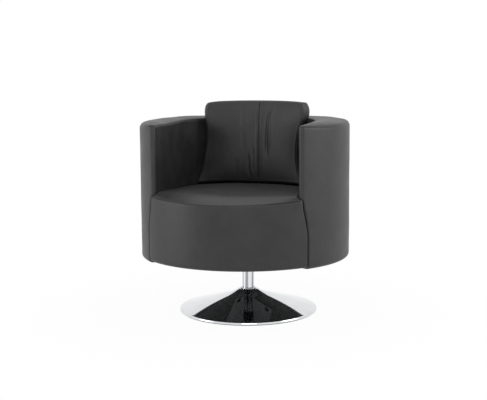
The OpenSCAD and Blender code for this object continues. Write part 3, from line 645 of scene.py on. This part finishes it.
def make_seat():
    """The seat's cover and foam as one closed piece, and the line of its front edge."""
    half = np.concatenate([np.linspace(0, 0.86, 40, endpoint=False),
                           1 - 0.14 * (1 - np.linspace(0, 1, 26)) ** 2.0])
    u = np.concatenate([-half[:0:-1], half])
    foot_low = foot_z + panel_lift
    foot_edge = foot_low + foot_round
    flange = foot_round + turn_in
    # From the deck's level behind the front panel, down, under and up the front
    rows = [panel_points(u, z, tub_r - panel_back_r) for z in (deck_z, board_z - 0.5 * mm)]
    for z, inset in ((board_z - 1 * mm, flange), (foot_low + 1 * mm, flange), (foot_low, flange - 1 * mm),
                     (foot_low, foot_round + turn_in / 2)):
        rows.append(panel_points(u, z, inset))
    for a in np.linspace(pi / 2, 0, 9):
        rows.append(panel_points(u, foot_low + foot_round * (1 - sin(a)), foot_round * (1 - cos(a))))
    edge = panel_points(u, seam_high_z)
    top_of_side = edge_height(edge[:, 1]) - seat_edge_round
    for t in np.linspace(0, 1, 31)[1:]:
        rows.append(panel_points(u, foot_edge + (top_of_side - foot_edge) * t))
    rim_u = edge[:, :2] / np.linalg.norm(edge[:, :2], axis=1)[:, None]
    for a in np.radians([15, 30, 45, 60, 75, 90]):
        row = edge.copy()
        row[:, :2] -= rim_u * seat_edge_round * (1 - cos(a))
        row[:, 2] = top_of_side + seat_edge_round * sin(a)
        rows.append(row)
    front = rows[-1]
    # Top of the seat, as a patch between the front edge, the arms' linings and the round back
    seat_r = well_r - seat_side_gap
    back = np.stack([seat_r * np.sin(u * pi / 2), seat_r * np.cos(u * pi / 2)], axis=1)
    v_values = np.concatenate([np.linspace(0, 0.16, 26)[1:], np.linspace(0.16, 0.9, 42)[1:],
                               1 - 0.1 * (1 - np.linspace(0, 1, 14)[1:]) ** 2])
    side_length = outer_length + tip_length + straight_length - seam_top_s
    for v in v_values:
        w = u / 2 + 0.5
        x, y, nx, ny = wall_plan(seam_top_s + v * side_length)
        ease = smooth_step(v / 0.03)
        side = np.array([x + nx * seat_side_gap, y + ny * seat_side_gap])
        side = side * ease + front[-1, :2] * (1 - ease)
        left = np.array([-side[0], side[1]])
        between_rows = front[:, :2] * (1 - v) + back * v
        between_sides = left[None, :] * (1 - w)[:, None] + side[None, :] * w[:, None]
        corners = ((1 - w)[:, None] * ((1 - v) * front[0, :2] + v * back[0]) +
                   w[:, None] * ((1 - v) * front[-1, :2] + v * back[-1]))
        plan = between_rows + between_sides - corners
        blend = smooth_step(v / 0.02)
        z = front[:, 2] * (1 - blend) + seat_height(plan[:, 0], plan[:, 1]) * blend
        rows.append(np.column_stack([plan, z]))
    low = rows[-1].copy()
    low[:, 2] = deck_z + 1 * mm
    rows.append(low)
    points = np.concatenate(rows)
    n_rows, n_columns = len(rows), len(u)
    faces = sheet_faces(n_rows, n_columns)
    last = (n_rows - 1) * n_columns
    for i in range(n_columns - 1):
        faces.append((last + i, last + i + 1, i + 1, i))
    for side in (0, n_columns - 1):
        faces.append(tuple(j * n_columns + side for j in range(n_rows)))
    return make_piece("seat_upholstery", points, faces, leather), front


def tube(name, path, radius, material, sides=12):
    """A closed round tube along a path of points."""
    path = np.asarray(path)
    forward = np.gradient(path, axis=0)
    forward /= np.linalg.norm(forward, axis=1)[:, None]
    side = np.cross(forward, [0, 0, 1.0])
    side /= np.linalg.norm(side, axis=1)[:, None]
    up = np.cross(side, forward)
    turns = np.linspace(0, 2 * pi, sides, endpoint=False)
    ring = side[:, None, :] * np.cos(turns)[None, :, None] + up[:, None, :] * np.sin(turns)[None, :, None]
    points = (path[:, None, :] + radius * ring).reshape(-1, 3)
    faces = sheet_faces(len(path), sides, ring=True)
    faces.append(tuple(range(sides)))
    faces.append(tuple((len(path) - 1) * sides + k for k in reversed(range(sides))))
    return make_piece(name, points, faces, material)


# Back cushion, in its own upright frame: x across, y from its front to its back, z up from its foot
crown_power = 2.6              # how square the crown of its panels is
top_draw = 0.028               # how much lower the top's middle is, as a share of half the height
top_fall = 0.032               # how much lower still its ends are
corner_loss = (0.045, 0.035)   # rounding of the top's left and right corner, as a share of the half sizes
start_front_crown = 20 * mm    # how far the front panel stands out before it is filled
start_back_crown = 26 * mm
foot_sag = 8 * mm              # how far the foot's corners hang down onto the rolled sides of the seat
foot_clear = 0.4 * mm          # lowest height of the foot's middle, in this frame
foot_roll = 8 * mm             # the front's seam at the foot is this far up, where the cover rolls under
cushion_seam_x = 26 * mm       # the centre seam's place in the photo

# Sides of the cushion's front panel in the photo, as (height, left, right) in mm. They are drawn in at
# the middle, and the foot spreads where the sitter's weight has pushed the filling down.
FRONT_SIDES = [(0, -200, 177), (20, -191, 168), (45, -181, 160), (90, -171, 153), (135, -163, 154),
               (180, -162, 160), (225, -167, 172), (265, -168, 177), (291, -166, 176)]
# The back panel shows in the photo only at its upper corners, which stand out beside the front panel's.
BACK_SIDES = [(0, -172, 172), (45, -164, 164), (135, -158, 158), (205, -163, 168), (220, -166, 178),
              (236, -172, 186), (251, -177, 190), (270, -177, 189), (291, -175, 184)]
band_bulge = 9 * mm            # how far the band stands out between its seams, before it is filled


def side_places(table, up):
    """Left and right places of the cushion's sides at a height, from a table, with its corners eased."""
    heights, left, right = np.array(table).T * mm
    blur = np.linspace(-14, 14, 9) * mm
    return [np.mean([np.interp(up + d, heights, side) for d in blur], axis=0) for side in (left, right)]


def cushion_start():
    """The cushion's cover before it is filled out: two crowned panels and the band between them."""
    near = np.array([0, 0.012, 0.03, 0.055, 0.085, 0.12, 0.16, 0.2, 0.25])
    side = np.concatenate([near, np.linspace(0.3, 0.9, 13), [0.935, 0.96, 0.98, 0.992, 1.0]])
    t_shares = np.concatenate([-side[:0:-1], side])
    r_half = np.concatenate([np.linspace(0, 0.86, 16), [0.9, 0.935, 0.965, 0.985, 1.0]])
    r_shares = np.concatenate([-r_half[:0:-1], r_half])
    n_c, n_r = len(t_shares), len(r_shares)
    t, r = np.meshgrid(t_shares, r_shares)
    panels = []
    for table, facing, crown in ((FRONT_SIDES, -1, start_front_crown), (BACK_SIDES, 1, start_back_crown)):
        left, right = side_places(table, cushion_h / 2 * (1 + r))
        x = cushion_seam_x + t * np.where(t > 0, right - cushion_seam_x, cushion_seam_x - left)
        middle, half = (left + right) / 2, (right - left) / 2
        c = (x - middle) / half
        corner = np.where(c < 0, *corner_loss) * np.abs(c * r) ** 10
        x = middle + c * half * (1 - np.where(r > 0, corner, 0))
        up = cushion_h / 2 * (1 + r * (1 - np.where(r > 0, top_draw + top_fall * c * c + corner, 0)))
        up = up - foot_sag * np.abs(c) ** 3 * np.clip(-r, 0, 1) ** 6
        if facing < 0:
            up = up + foot_roll * np.clip(-r, 0, 1) ** 8
        swell = (1 - np.abs(c) ** crown_power) * (1 - np.abs(r) ** crown_power)
        panels.append(np.stack([x, facing * (cushion_band / 2 + crown * swell), up], axis=2).reshape(-1, 3))
    front, back = panels
    # The panel's outline as a closed ring of its points, which the band follows to the back panel
    ring = (list(range(n_c)) + [n_c * (j + 1) - 1 for j in range(1, n_r)] +
            [n_c * n_r - 1 - i for i in range(1, n_c)] + [n_c * (n_r - 1 - j) for j in range(1, n_r - 1)])
    faces = sheet_faces(n_r, n_c) + [tuple(reversed(f)) for f in sheet_faces(n_r, n_c, first=n_c * n_r)]
    points = [front, back]
    first = 2 * n_c * n_r
    across_band = [0.025, 0.07, 0.16, 0.3, 0.43, 0.57, 0.7, 0.84, 0.93, 0.975]
    outline = front[ring][:, [0, 2]]
    along = np.roll(outline, -1, axis=0) - np.roll(outline, 1, axis=0)
    outward = np.column_stack([along[:, 1], np.zeros(len(ring)), -along[:, 0]])
    outward /= np.linalg.norm(outward, axis=1)[:, None]
    outward *= np.abs(outward[:, :1])        # only the band's sides stand out, not its top and foot
    for share in across_band:
        bulge = 4 * share * (1 - share) * band_bulge * outward
        points.append(front[ring] * (1 - share) + back[ring] * share + bulge)
    strips = [ring]
    for k in range(len(across_band)):
        strips.append([first + k * len(ring) + i for i in range(len(ring))])
    strips.append([n_c * n_r + i for i in ring])
    for a, b in zip(strips, strips[1:]):
        for i in range(len(ring)):
            j = (i + 1) % len(ring)
            faces.append((a[j], a[i], b[i], b[j]))
    seams = [np.array(ring), np.array(ring) + n_c * n_r]
    return np.concatenate(points), faces, seams


def filled_out(piece, pressure, cap, held):
    """Swells a closed cover from inside with a cloth simulation, and keeps the resulting mesh.

    The seams are held in their places, by their vertex indices. No point moves further than the cap."""
    frames = 20
    scene = bpy.context.scene
    group = piece.vertex_groups.new(name="held")
    group.add([int(i) for i in held], 1.0, "REPLACE")
    rest = np.array([v.co for v in piece.data.vertices], float)
    cloth = piece.modifiers.new("filling", "CLOTH")
    settings = {"quality": 6, "mass": 0.4, "tension_stiffness": 25, "compression_stiffness": 25,
                "bending_stiffness": 2, "use_pressure": True, "uniform_pressure_force": pressure,
                "vertex_group_mass": "held"}
    for name, value in settings.items():
        setattr(cloth.settings, name, value)
    cloth.settings.effector_weights.gravity = 0
    cloth.point_cache.frame_start = 1
    cloth.point_cache.frame_end = frames
    for number in range(1, frames + 1):
        scene.frame_set(number)
    state = piece.evaluated_get(bpy.context.evaluated_depsgraph_get())
    swollen = np.array([v.co for v in state.data.vertices], float)
    piece.modifiers.remove(cloth)
    piece.vertex_groups.clear()
    scene.frame_set(1)
    move = swollen - rest
    length = np.linalg.norm(move, axis=1)
    move *= np.minimum(1, cap / np.maximum(length, 1e-9))[:, None]
    piece.data.vertices.foreach_set("co", (rest + move).ravel())
    piece.data.update()


def keep_result(piece, modifier):
    """Replaces a piece's mesh by what its modifier makes of it."""
    bpy.context.view_layer.update()
    state = piece.evaluated_get(bpy.context.evaluated_depsgraph_get())
    mesh = bpy.data.meshes.new_from_object(state)
    piece.modifiers.remove(modifier)
    piece.data = mesh


# Soft creases on the cushion's front: points (across, up) in mm, depth and half width in mm,
# and which side of the crease its raised lip is on.
CREASES = [
    ([(72, 284), (67, 264), (60, 236), (56, 205), (54, 165), (54, 125), (55, 78)], 5.5, 4.0, 1),
    ([(-31, 262), (-30, 225), (-30, 190)], 2.2, 4.5, 1),
    ([(-29, 190), (-28, 150), (-26, 110)], 0.7, 6.0, 1),
    ([(-7, 108), (-8, 76), (-8, 40), (-7, 16)], 3.0, 4.0, 1),
    ([(7, 130), (5, 95), (5, 60), (6, 30)], 2.3, 4.0, -1),
    ([(19, 266), (19, 225), (19, 180)], 1.7, 2.2, -1),
    ([(-52, 90), (-54, 60), (-53, 30)], 0.9, 6.0, 1),
    # Short fold above the foot's seam, across the centre seam
    ([(-17, 14), (14, 13), (45, 14)], 1.4, 2.0, 1),
]
centre_groove = 3.6 * mm       # depth of the centre seam
centre_groove_width = 1.6 * mm
centre_welt = 1.3 * mm         # how far the filling stands up beside it
lip_place, lip_width, lip_height = 2.1, 1.2, 0.55   # times the crease's half width, and its depth
fade_in, fade_out = 0.25, 0.35   # shares of a crease's length over which it starts and ends
edge_groove = 1.2 * mm         # depth of the seams round the front and back panels
edge_groove_width = 1.9 * mm
edge_welt = 0.5 * mm


def crease_depth(x, up):
    """How far the creases draw the cushion's front in at places across and up it."""
    total = np.zeros_like(x)
    for line, depth, half_width, lip_side in CREASES:
        line = np.array(line) * mm
        steps = np.linalg.norm(np.diff(line, axis=0), axis=1)
        run = np.concatenate([[0], np.cumsum(steps)])
        best = np.full(x.shape, 1e9)
        place = np.zeros_like(x)
        signed = np.zeros_like(x)
        for k, step in enumerate(steps):
            a, b = line[k], line[k + 1]
            t = np.clip(((x - a[0]) * (b[0] - a[0]) + (up - a[1]) * (b[1] - a[1])) / step ** 2, 0, 1)
            dx, dz = x - (a[0] + t * (b[0] - a[0])), up - (a[1] + t * (b[1] - a[1]))
            turned = (dx * (a[1] - b[1]) - dz * (a[0] - b[0])) / step
            distance = np.hypot(dx, dz)
            closer = distance < best
            best = np.where(closer, distance, best)
            place = np.where(closer, run[k] + t * step, place)
            signed = np.where(closer, np.copysign(distance, turned), signed)
        share = place / run[-1]
        fade = smooth_step(share / fade_in) * smooth_step((1 - share) / fade_out)
        w = half_width * mm
        valley = bell(signed, w)
        lip = bell(signed - lip_side * lip_place * w, lip_width * w)
        total += depth * mm * fade * (valley - lip_height * lip)
    return total


def distance_to_loop(points, loop):
    """Distance of each point to a closed line of points, which is made four times finer first."""
    fine = np.concatenate([loop * (1 - t) + np.roll(loop, -1, axis=0) * t for t in (0, 0.25, 0.5, 0.75)])
    tree = KDTree(len(fine))
    for i, p in enumerate(fine):
        tree.insert(p, i)
    tree.balance()
    return np.array([tree.find(p)[2] for p in points])


def make_cushion():
    """The filled cover, with its edge seams, centre seam and creases, leaning in the back of the tub."""
    points, faces, seams = cushion_start()
    piece = make_piece("back_cushion", points, faces, leather)
    filled_out(piece, pressure=4.0, cap=22 * mm, held=np.concatenate(seams))
    placed = np.array([v.co for v in piece.data.vertices], float)
    loops = [placed[ring] for ring in seams]
    finer = piece.modifiers.new("finer", "SUBSURF")
    finer.levels = finer.render_levels = 1
    keep_result(piece, finer)
    co = np.array([v.co for v in piece.data.vertices], float)
    normal = np.array([v.normal for v in piece.data.vertices], float)
    for loop in loops:
        away = distance_to_loop(co, loop)
        draw = edge_groove * bell(away, edge_groove_width) - edge_welt * bell(away - 5 * mm, 3 * mm)
        co = co - normal * draw[:, None]
    x, y, up = co[:, 0], co[:, 1], co[:, 2]
    facing = smooth_step((-y - cushion_band / 2 + 2 * mm) / (6 * mm))
    from_seam = np.abs(x - cushion_seam_x)
    groove = centre_groove * bell(from_seam, centre_groove_width)
    groove += centre_welt * (bell(from_seam - 6.5 * mm, 3 * mm) - bell(from_seam - 3 * mm, 2 * mm))
    groove *= smooth_step((up - 8 * mm) / (16 * mm)) * smooth_step((cushion_h - 4 * mm - up) / (12 * mm))
    co[:, 1] = y + facing * (groove + crease_depth(x, up))
    # The foot rests on the seat, which is lower at its sides
    rest = foot_clear - foot_sag * np.abs(np.clip(x / (180 * mm), -1.1, 1.1)) ** 3
    co[:, 2] = np.maximum(co[:, 2], rest)
    to_place = (Matrix.Translation((0, cushion_back_y, cushion_z)) @ Matrix.Rotation(-cushion_lean, 4, "X")
                @ Matrix.Translation((0, -cushion_band / 2, 0)))
    piece.data.vertices.foreach_set("co", co.ravel())
    piece.data.transform(to_place)
    piece.data.update()
    for polygon in piece.data.polygons:
        polygon.use_smooth = True
    return piece


def node_tree(name, inputs):
    """An empty Geometry Nodes tree with named inputs: (name, socket type, default)."""
    tree = bpy.data.node_groups.new(name, "GeometryNodeTree")
    tree.is_modifier = True
    tree.interface.new_socket("Geometry", in_out="INPUT", socket_type="NodeSocketGeometry")
    for title, kind, value in inputs:
        socket = tree.interface.new_socket(title, in_out="INPUT", socket_type=kind)
        if value is not None:
            socket.default_value = value
    tree.interface.new_socket("Geometry", in_out="OUTPUT", socket_type="NodeSocketGeometry")
    return tree, add(tree, "NodeGroupInput").outputs


def grown(name, host, tree, **values):
    """Runs a Geometry Nodes tree on a host mesh and keeps the result as one plain mesh piece."""
    piece = linked(name, host)
    modifier = piece.modifiers.new("grow", "NODES")
    modifier.node_group = tree
    for item in tree.interface.items_tree:
        title = item.name.replace(" ", "_").lower()
        if item.in_out == "INPUT" and title in values:
            modifier[item.identifier] = values[title]
    keep_result(piece, modifier)
    piece.data.name = name
    close_mesh(piece.data, 0.002 * mm)
    return piece


def line_mesh(name, points):
    """A mesh of edges only, along a closed line of points."""
    edges = [(i, (i + 1) % len(points)) for i in range(len(points))]
    mesh = bpy.data.meshes.new(name)
    mesh.from_pydata([tuple(p) for p in points], edges, [])
    return mesh


def finish_tree(tree, geometry, finish):
    """Gives a tree's geometry its material and makes it the tree's result."""
    dyed = add(tree, "GeometryNodeSetMaterial", {"Geometry": geometry, "Material": finish})
    add(tree, "NodeGroupOutput", {"Geometry": dyed})
    return tree


def stapling_tree():
    """Wire staples of a set length and thickness, one every pitch along the host's line."""
    tree, given = node_tree("stapling", [("Pitch", "NodeSocketFloat", 45 * mm),
                                         ("Length", "NodeSocketFloat", 10 * mm),
                                         ("Thickness", "NodeSocketFloat", 0.9 * mm),
                                         ("Finish", "NodeSocketMaterial", None)])
    line = add(tree, "GeometryNodeMeshToCurve", {"Mesh": given["Geometry"]})
    places = add(tree, "GeometryNodeResampleCurve", {"Curve": line, "Length": given["Pitch"]},
                 mode="LENGTH")
    along = add(tree, "GeometryNodeInputTangent")
    turn = add(tree, "FunctionNodeAlignRotationToVector", {"Vector": along}, axis="Z")
    wire = add(tree, "GeometryNodeMeshCylinder", {"Vertices": 10, "Radius": 0.5, "Depth": 1.0})
    thick, length = given["Thickness"], given["Length"]
    size = add(tree, "ShaderNodeCombineXYZ", {"X": thick, "Y": thick, "Z": length})
    staple = add(tree, "GeometryNodeTransform", {"Geometry": wire, "Scale": size})
    copies = add(tree, "GeometryNodeInstanceOnPoints",
                 {"Points": places, "Instance": staple, "Rotation": turn})
    real = add(tree, "GeometryNodeRealizeInstances", {"Geometry": copies})
    return finish_tree(tree, real, given["Finish"])


def spinning_tree():
    """Turns the host's half section round the swivel's axis, as metal is spun on a lathe."""
    tree, given = node_tree("spinning", [("Steps", "NodeSocketInt", 256),
                                         ("Axis Y", "NodeSocketFloat", 0.0),
                                         ("Finish", "NodeSocketMaterial", None)])
    section = add(tree, "GeometryNodeMeshToCurve", {"Mesh": given["Geometry"]})
    circle = add(tree, "GeometryNodeCurvePrimitiveCircle", {"Resolution": given["Steps"], "Radius": 1.0})
    swept = add(tree, "GeometryNodeCurveToMesh", {"Curve": circle, "Profile Curve": section})
    offset = add(tree, "ShaderNodeCombineXYZ", {"Y": given["Axis Y"]})
    placed = add(tree, "GeometryNodeTransform", {"Geometry": swept, "Translation": offset})
    return finish_tree(tree, placed, given["Finish"])


stapling = stapling_tree()
spinning = spinning_tree()


def spun(name, section, material, steps):
    """A round piece from its closed half section, as (radius, height) points."""
    # The circle that carries the section has a radius of 1 m, and the section's -Y becomes up
    host = line_mesh(name + "_section", [(r - 1.0, -z, 0) for r, z in section])
    return grown(name, host, spinning, steps=steps, axis_y=swivel_y, finish=material)


def arc(centre, radius, start, end, steps):
    """Points on an arc between two angles."""
    angles = np.linspace(start, end, steps + 1)
    return [(centre[0] + radius * cos(a), centre[1] + radius * sin(a)) for a in angles]


# Trumpet base
trumpet_low, trumpet_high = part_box("trumpet_shell")
base_r = trumpet_high.x
neck_z = trumpet_high.z
base_rim_z = 10.5 * mm         # height where the flare's line would meet the rim's side
flare = radians(15.5)          # slope of the straight flare
neck_slope = radians(34)       # slope at the neck, where the hollow curve starts
neck_r = 33 * mm
flare_end_r = 74 * mm          # the hollow curve ends and the flare starts here
spun_t = 2 * mm                # thickness of the spun steel
rim_fillet = 7 * mm
rim_lip = 0.6 * mm             # rounding of the rim's lower edge
column_wall = 2.5 * mm
column_edge = 0.5 * mm         # rounding of the column's upper edge
collar_edge = 1.5 * mm         # rounding of the collar's upper edge
shell_gap = 0.1 * mm           # between the shell's neck and the column
collar_gap = 0.02 * mm         # between the collar and the column


def trumpet_section():
    """Half section of the spun shell: flat neck, hollow curve, straight flare and turned-down rim."""
    flare_length = base_r - flare_end_r
    turn_z = base_rim_z + flare_length * tan(flare)
    hollow_r = (flare_end_r - neck_r) / (sin(neck_slope) - sin(flare))
    centre = (flare_end_r + hollow_r * sin(flare), turn_z + hollow_r * cos(flare))
    rim_centre = (base_r - rim_fillet, base_rim_z + rim_fillet * tan(flare) - rim_fillet / cos(flare))
    start, end = 1.5 * pi - neck_slope, 1.5 * pi - flare
    column_bore = column_high.x + shell_gap
    outside = [(column_bore, neck_z), (neck_r - 1.5 * mm, neck_z)]
    outside += arc(centre, hollow_r, start, end, 40)
    outside += [(flare_end_r + flare_length * t, turn_z - flare_length * t * tan(flare))
                for t in (0.1, 0.25, 0.4, 0.55, 0.7, 0.85, 0.95)]
    outside += arc(rim_centre, rim_fillet, pi / 2 - flare, 0, 8)
    outside += [(base_r, trumpet_low.z + rim_lip)]
    outside += arc((base_r - rim_lip, trumpet_low.z + rim_lip), rim_lip, radians(-20), -pi / 2, 3)
    inside = [(base_r - spun_t, trumpet_low.z)]
    inside += arc(rim_centre, rim_fillet - spun_t, 0, pi / 2 - flare, 3)
    inside += arc(centre, hollow_r + spun_t, end, start, 16)
    inside += [(column_bore, inside[-1][1])]
    return outside + inside


def ring_section(bore, low_z, r, high_z, edge, edge_start, steps, side_steps=1):
    """Half section of a tube or ring with a rounded upper edge."""
    side = [(r, low_z + (high_z - low_z) * i / side_steps) for i in range(side_steps)]
    return ([(bore, low_z)] + side + [(r, high_z - edge)] +
            arc((r - edge, high_z - edge), edge, edge_start, pi / 2, steps) + [(bore, high_z)])


def make_base():
    """The chromed shell, column and collar. The column's side has four rows, the collar's has one."""
    collar_low, collar_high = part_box("neck_collar")
    column = ring_section(column_high.x - column_wall, column_low.z, column_high.x, column_high.z,
                          column_edge, radians(20), 3, side_steps=4)
    collar = ring_section(column_high.x + collar_gap, collar_low.z, collar_high.x, collar_high.z,
                          collar_edge, radians(15), 6)
    for name, node, section, finish, steps in (
            ("trumpet_base", "trumpet_shell", trumpet_section(), chrome, 256),
            ("swivel_column", "column_tube", column, column_chrome, 96),
            ("column_collar", "neck_collar", collar, chrome, 128)):
        piece = spun(name, section, finish, steps)
        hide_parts(node)
        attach(piece, "base")


# Under-cloth, stretched over the bottom board, with a square hole for the swivel's plate
cloth_low, cloth_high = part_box("dust_cover")
cloth_r = cloth_high.x
cloth_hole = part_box("swivel_plate")[1].x + 6 * mm   # half the hole's width, 6 mm clear of the plate
cloth_t = 0.5 * mm
cloth_sag = 2.5 * mm
cloth_steps = 352              # points round it, eight to each pucker
puckers = 44                   # about one to each staple
pucker_depth = 0.35 * mm
pucker_reach = 0.08            # share of the cloth's width that a pucker runs in from the edge
staple_inset = 9 * mm
staple_pitch = 45 * mm
staple_length = 10 * mm
staple_wire = 0.9 * mm
staple_drop = 0.7 * mm         # the wire's middle lies this much below the cloth's edge


def cloth_height(share, angle):
    """Height of the cloth's underside: held at both edges, sagging between, puckered at the staples."""
    pucker = pucker_depth * np.cos(puckers * angle) * bell(1 - share, pucker_reach)
    return cloth_low.z - cloth_sag * np.sin(pi * share) ** 0.8 + pucker * smooth_step((1 - share) / 0.02)


def make_undercloth():
    """The cloth, with its thickness, and the staples that hold its edge to the board."""
    angles = np.linspace(0, 2 * pi, cloth_steps, endpoint=False)
    across, along = np.cos(angles), np.sin(angles)
    inner = cloth_hole / np.maximum(np.abs(across), np.abs(along))
    outer = np.sqrt(cloth_r ** 2 - swivel_y ** 2 + (swivel_y * along) ** 2) - swivel_y * along
    rows = []
    for lift, shares in ((0, np.linspace(0, 1, 30)), (cloth_t, np.linspace(1, 0, 30))):
        for share in shares:
            r = inner + (outer - inner) * share
            z = cloth_height(share, angles) + lift
            rows.append(np.stack([r * across, swivel_y + r * along, z], axis=1))
    rows.append(rows[0])
    points = np.concatenate(rows)
    faces = sheet_faces(len(rows), cloth_steps, ring=True)
    cloth = make_piece("underside_cloth", points, faces, undercloth)
    turns = np.linspace(0, 2 * pi, 180, endpoint=False)
    staple_r = cloth_r - staple_inset
    staple_z = cloth_low.z - staple_drop
    host = line_mesh("staple_line", [(staple_r * cos(a), staple_r * sin(a), staple_z) for a in turns])
    staples = grown("cloth_staples", host, stapling, pitch=staple_pitch, length=staple_length,
                    thickness=staple_wire, finish=zinc)
    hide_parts("dust_cover")
    for piece in (cloth, staples):
        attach(piece, "seat")


make_undercloth()
tub = make_tub()
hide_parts("tub_cover", "tub_padding")
seat, front_edge = make_seat()
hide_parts("seat_cover", "seat_foam")
piping_path = front_edge[4:-4] + np.array([0, 0, piping_up])
piping = tube("seat_piping", piping_path, piping_r, leather)
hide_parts("seat_welt")
for piece in (tub, seat, piping):
    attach(piece, "seat")
cushion = make_cushion()
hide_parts("cushion_cover", "cushion_fill")
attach(cushion, "cushion")
make_base()


# Room: a white floor and an even white surround
floor_half = 6.0
floor_shown = 0.965            # share of plain white in what the camera sees of the floor under the chair
floor_fade = (0.25, 1.1)       # it rises to 1 between these distances from the middle
surround = 0.30                # brightness of the surround as a light, while it looks as bright as 1
chair_middle = Vector((0, 0, 0.4))


def seen_directly(tree):
    """1 for rays that the camera or a mirror sends, and 0 for those that carry light to dull surfaces."""
    rays = add(tree, "ShaderNodeLightPath").outputs
    seen = maths(tree, "MAXIMUM", rays["Is Camera Ray"], rays["Is Glossy Ray"])
    return maths(tree, "MAXIMUM", seen, rays["Is Transmission Ray"])


def white_floor():
    """A dull white surface that the camera and mirrors see as white, but for a little of its shadow."""
    material = bpy.data.materials.new("white_floor")
    tree = cleared_tree(material)
    where = add(tree, "ShaderNodeTexCoord").outputs["Object"]
    dull = add(tree, "ShaderNodeBsdfDiffuse", {"Color": linear("#f2f2f2")})
    white = add(tree, "ShaderNodeEmission", {"Color": (1, 1, 1, 1), "Strength": 1.0})
    away = add(tree, "ShaderNodeVectorMath", {0: where}, operation="LENGTH").outputs["Value"]
    plain = spread(tree, away, floor_shown, 1.0, *floor_fade, interpolation_type="SMOOTHSTEP")
    amount = maths(tree, "MULTIPLY", seen_directly(tree), plain)
    mix = add(tree, "ShaderNodeMixShader", {"Fac": amount, 1: dull, 2: white})
    add(tree, "ShaderNodeOutputMaterial", {"Surface": mix})
    return material


floor_mesh = bpy.data.meshes.new("studio_floor")
corners = [(x * floor_half, y * floor_half, 0) for x, y in ((-1, -1), (1, -1), (1, 1), (-1, 1))]
floor_mesh.from_pydata(corners, [], [(0, 1, 2, 3)])
floor_mesh.materials.append(white_floor())
floor = linked("studio_floor", floor_mesh)

world = bpy.data.worlds.new("studio")
bpy.context.scene.world = world
sky = cleared_tree(world)
sky_strength = spread(sky, seen_directly(sky), surround, 1.0)
sky_light = add(sky, "ShaderNodeBackground", {"Color": (1, 1, 1, 1), "Strength": sky_strength})
add(sky, "ShaderNodeOutputWorld", {"Surface": sky_light})


def softbox(name, place, size, power):
    """A square area lamp that faces the chair's middle."""
    lamp = bpy.data.lights.new(name, "AREA")
    lamp.shape = "SQUARE"
    lamp.size = size
    lamp.energy = power
    holder = linked(name, lamp)
    holder.location = place
    holder.rotation_mode = "QUATERNION"
    holder.rotation_quaternion = (chair_middle - Vector(place)).to_track_quat("-Z", "Y")


softbox("overhead_softbox", (0.0, -0.3, 3.0), 2.0, 20)
softbox("front_softbox", (1.0, -3.6, 1.7), 1.6, 27)
softbox("left_softbox", (-2.6, -1.6, 0.7), 1.4, 22)
softbox("right_softbox", (2.8, 0.0, 1.4), 1.4, 30)

# Camera, standing to the sitter's left of the chair's front and looking slightly down
turn = radians(14.5)
camera_place = Vector((822.1, -3200.9, 806.9)) * mm
pitch = 0.1272                 # downwards, in radians
roll = 0.0069
focal_px = 986.2               # focal length in pixels of the photo
image_w = 487
sensor_w = 36                  # millimetres
across = Vector((cos(turn), sin(turn), 0))
ahead = Vector((-sin(turn) * cos(pitch), cos(turn) * cos(pitch), -sin(pitch)))
upward = Vector((-sin(turn) * sin(pitch), cos(turn) * sin(pitch), cos(pitch)))
right = across * cos(roll) - upward * sin(roll)
top = across * sin(roll) + upward * cos(roll)
camera_data = bpy.data.cameras.new("camera")
camera_data.sensor_width = sensor_w
camera_data.lens = sensor_w * focal_px / image_w
camera = linked("camera", camera_data)
axes = (right, top, -ahead, camera_place)
camera.matrix_world = Matrix([[axis[i] for axis in axes] for i in range(3)] + [[0, 0, 0, 1]])
bpy.context.scene.camera = camera
bpy.context.scene.view_settings.view_transform = "Standard"
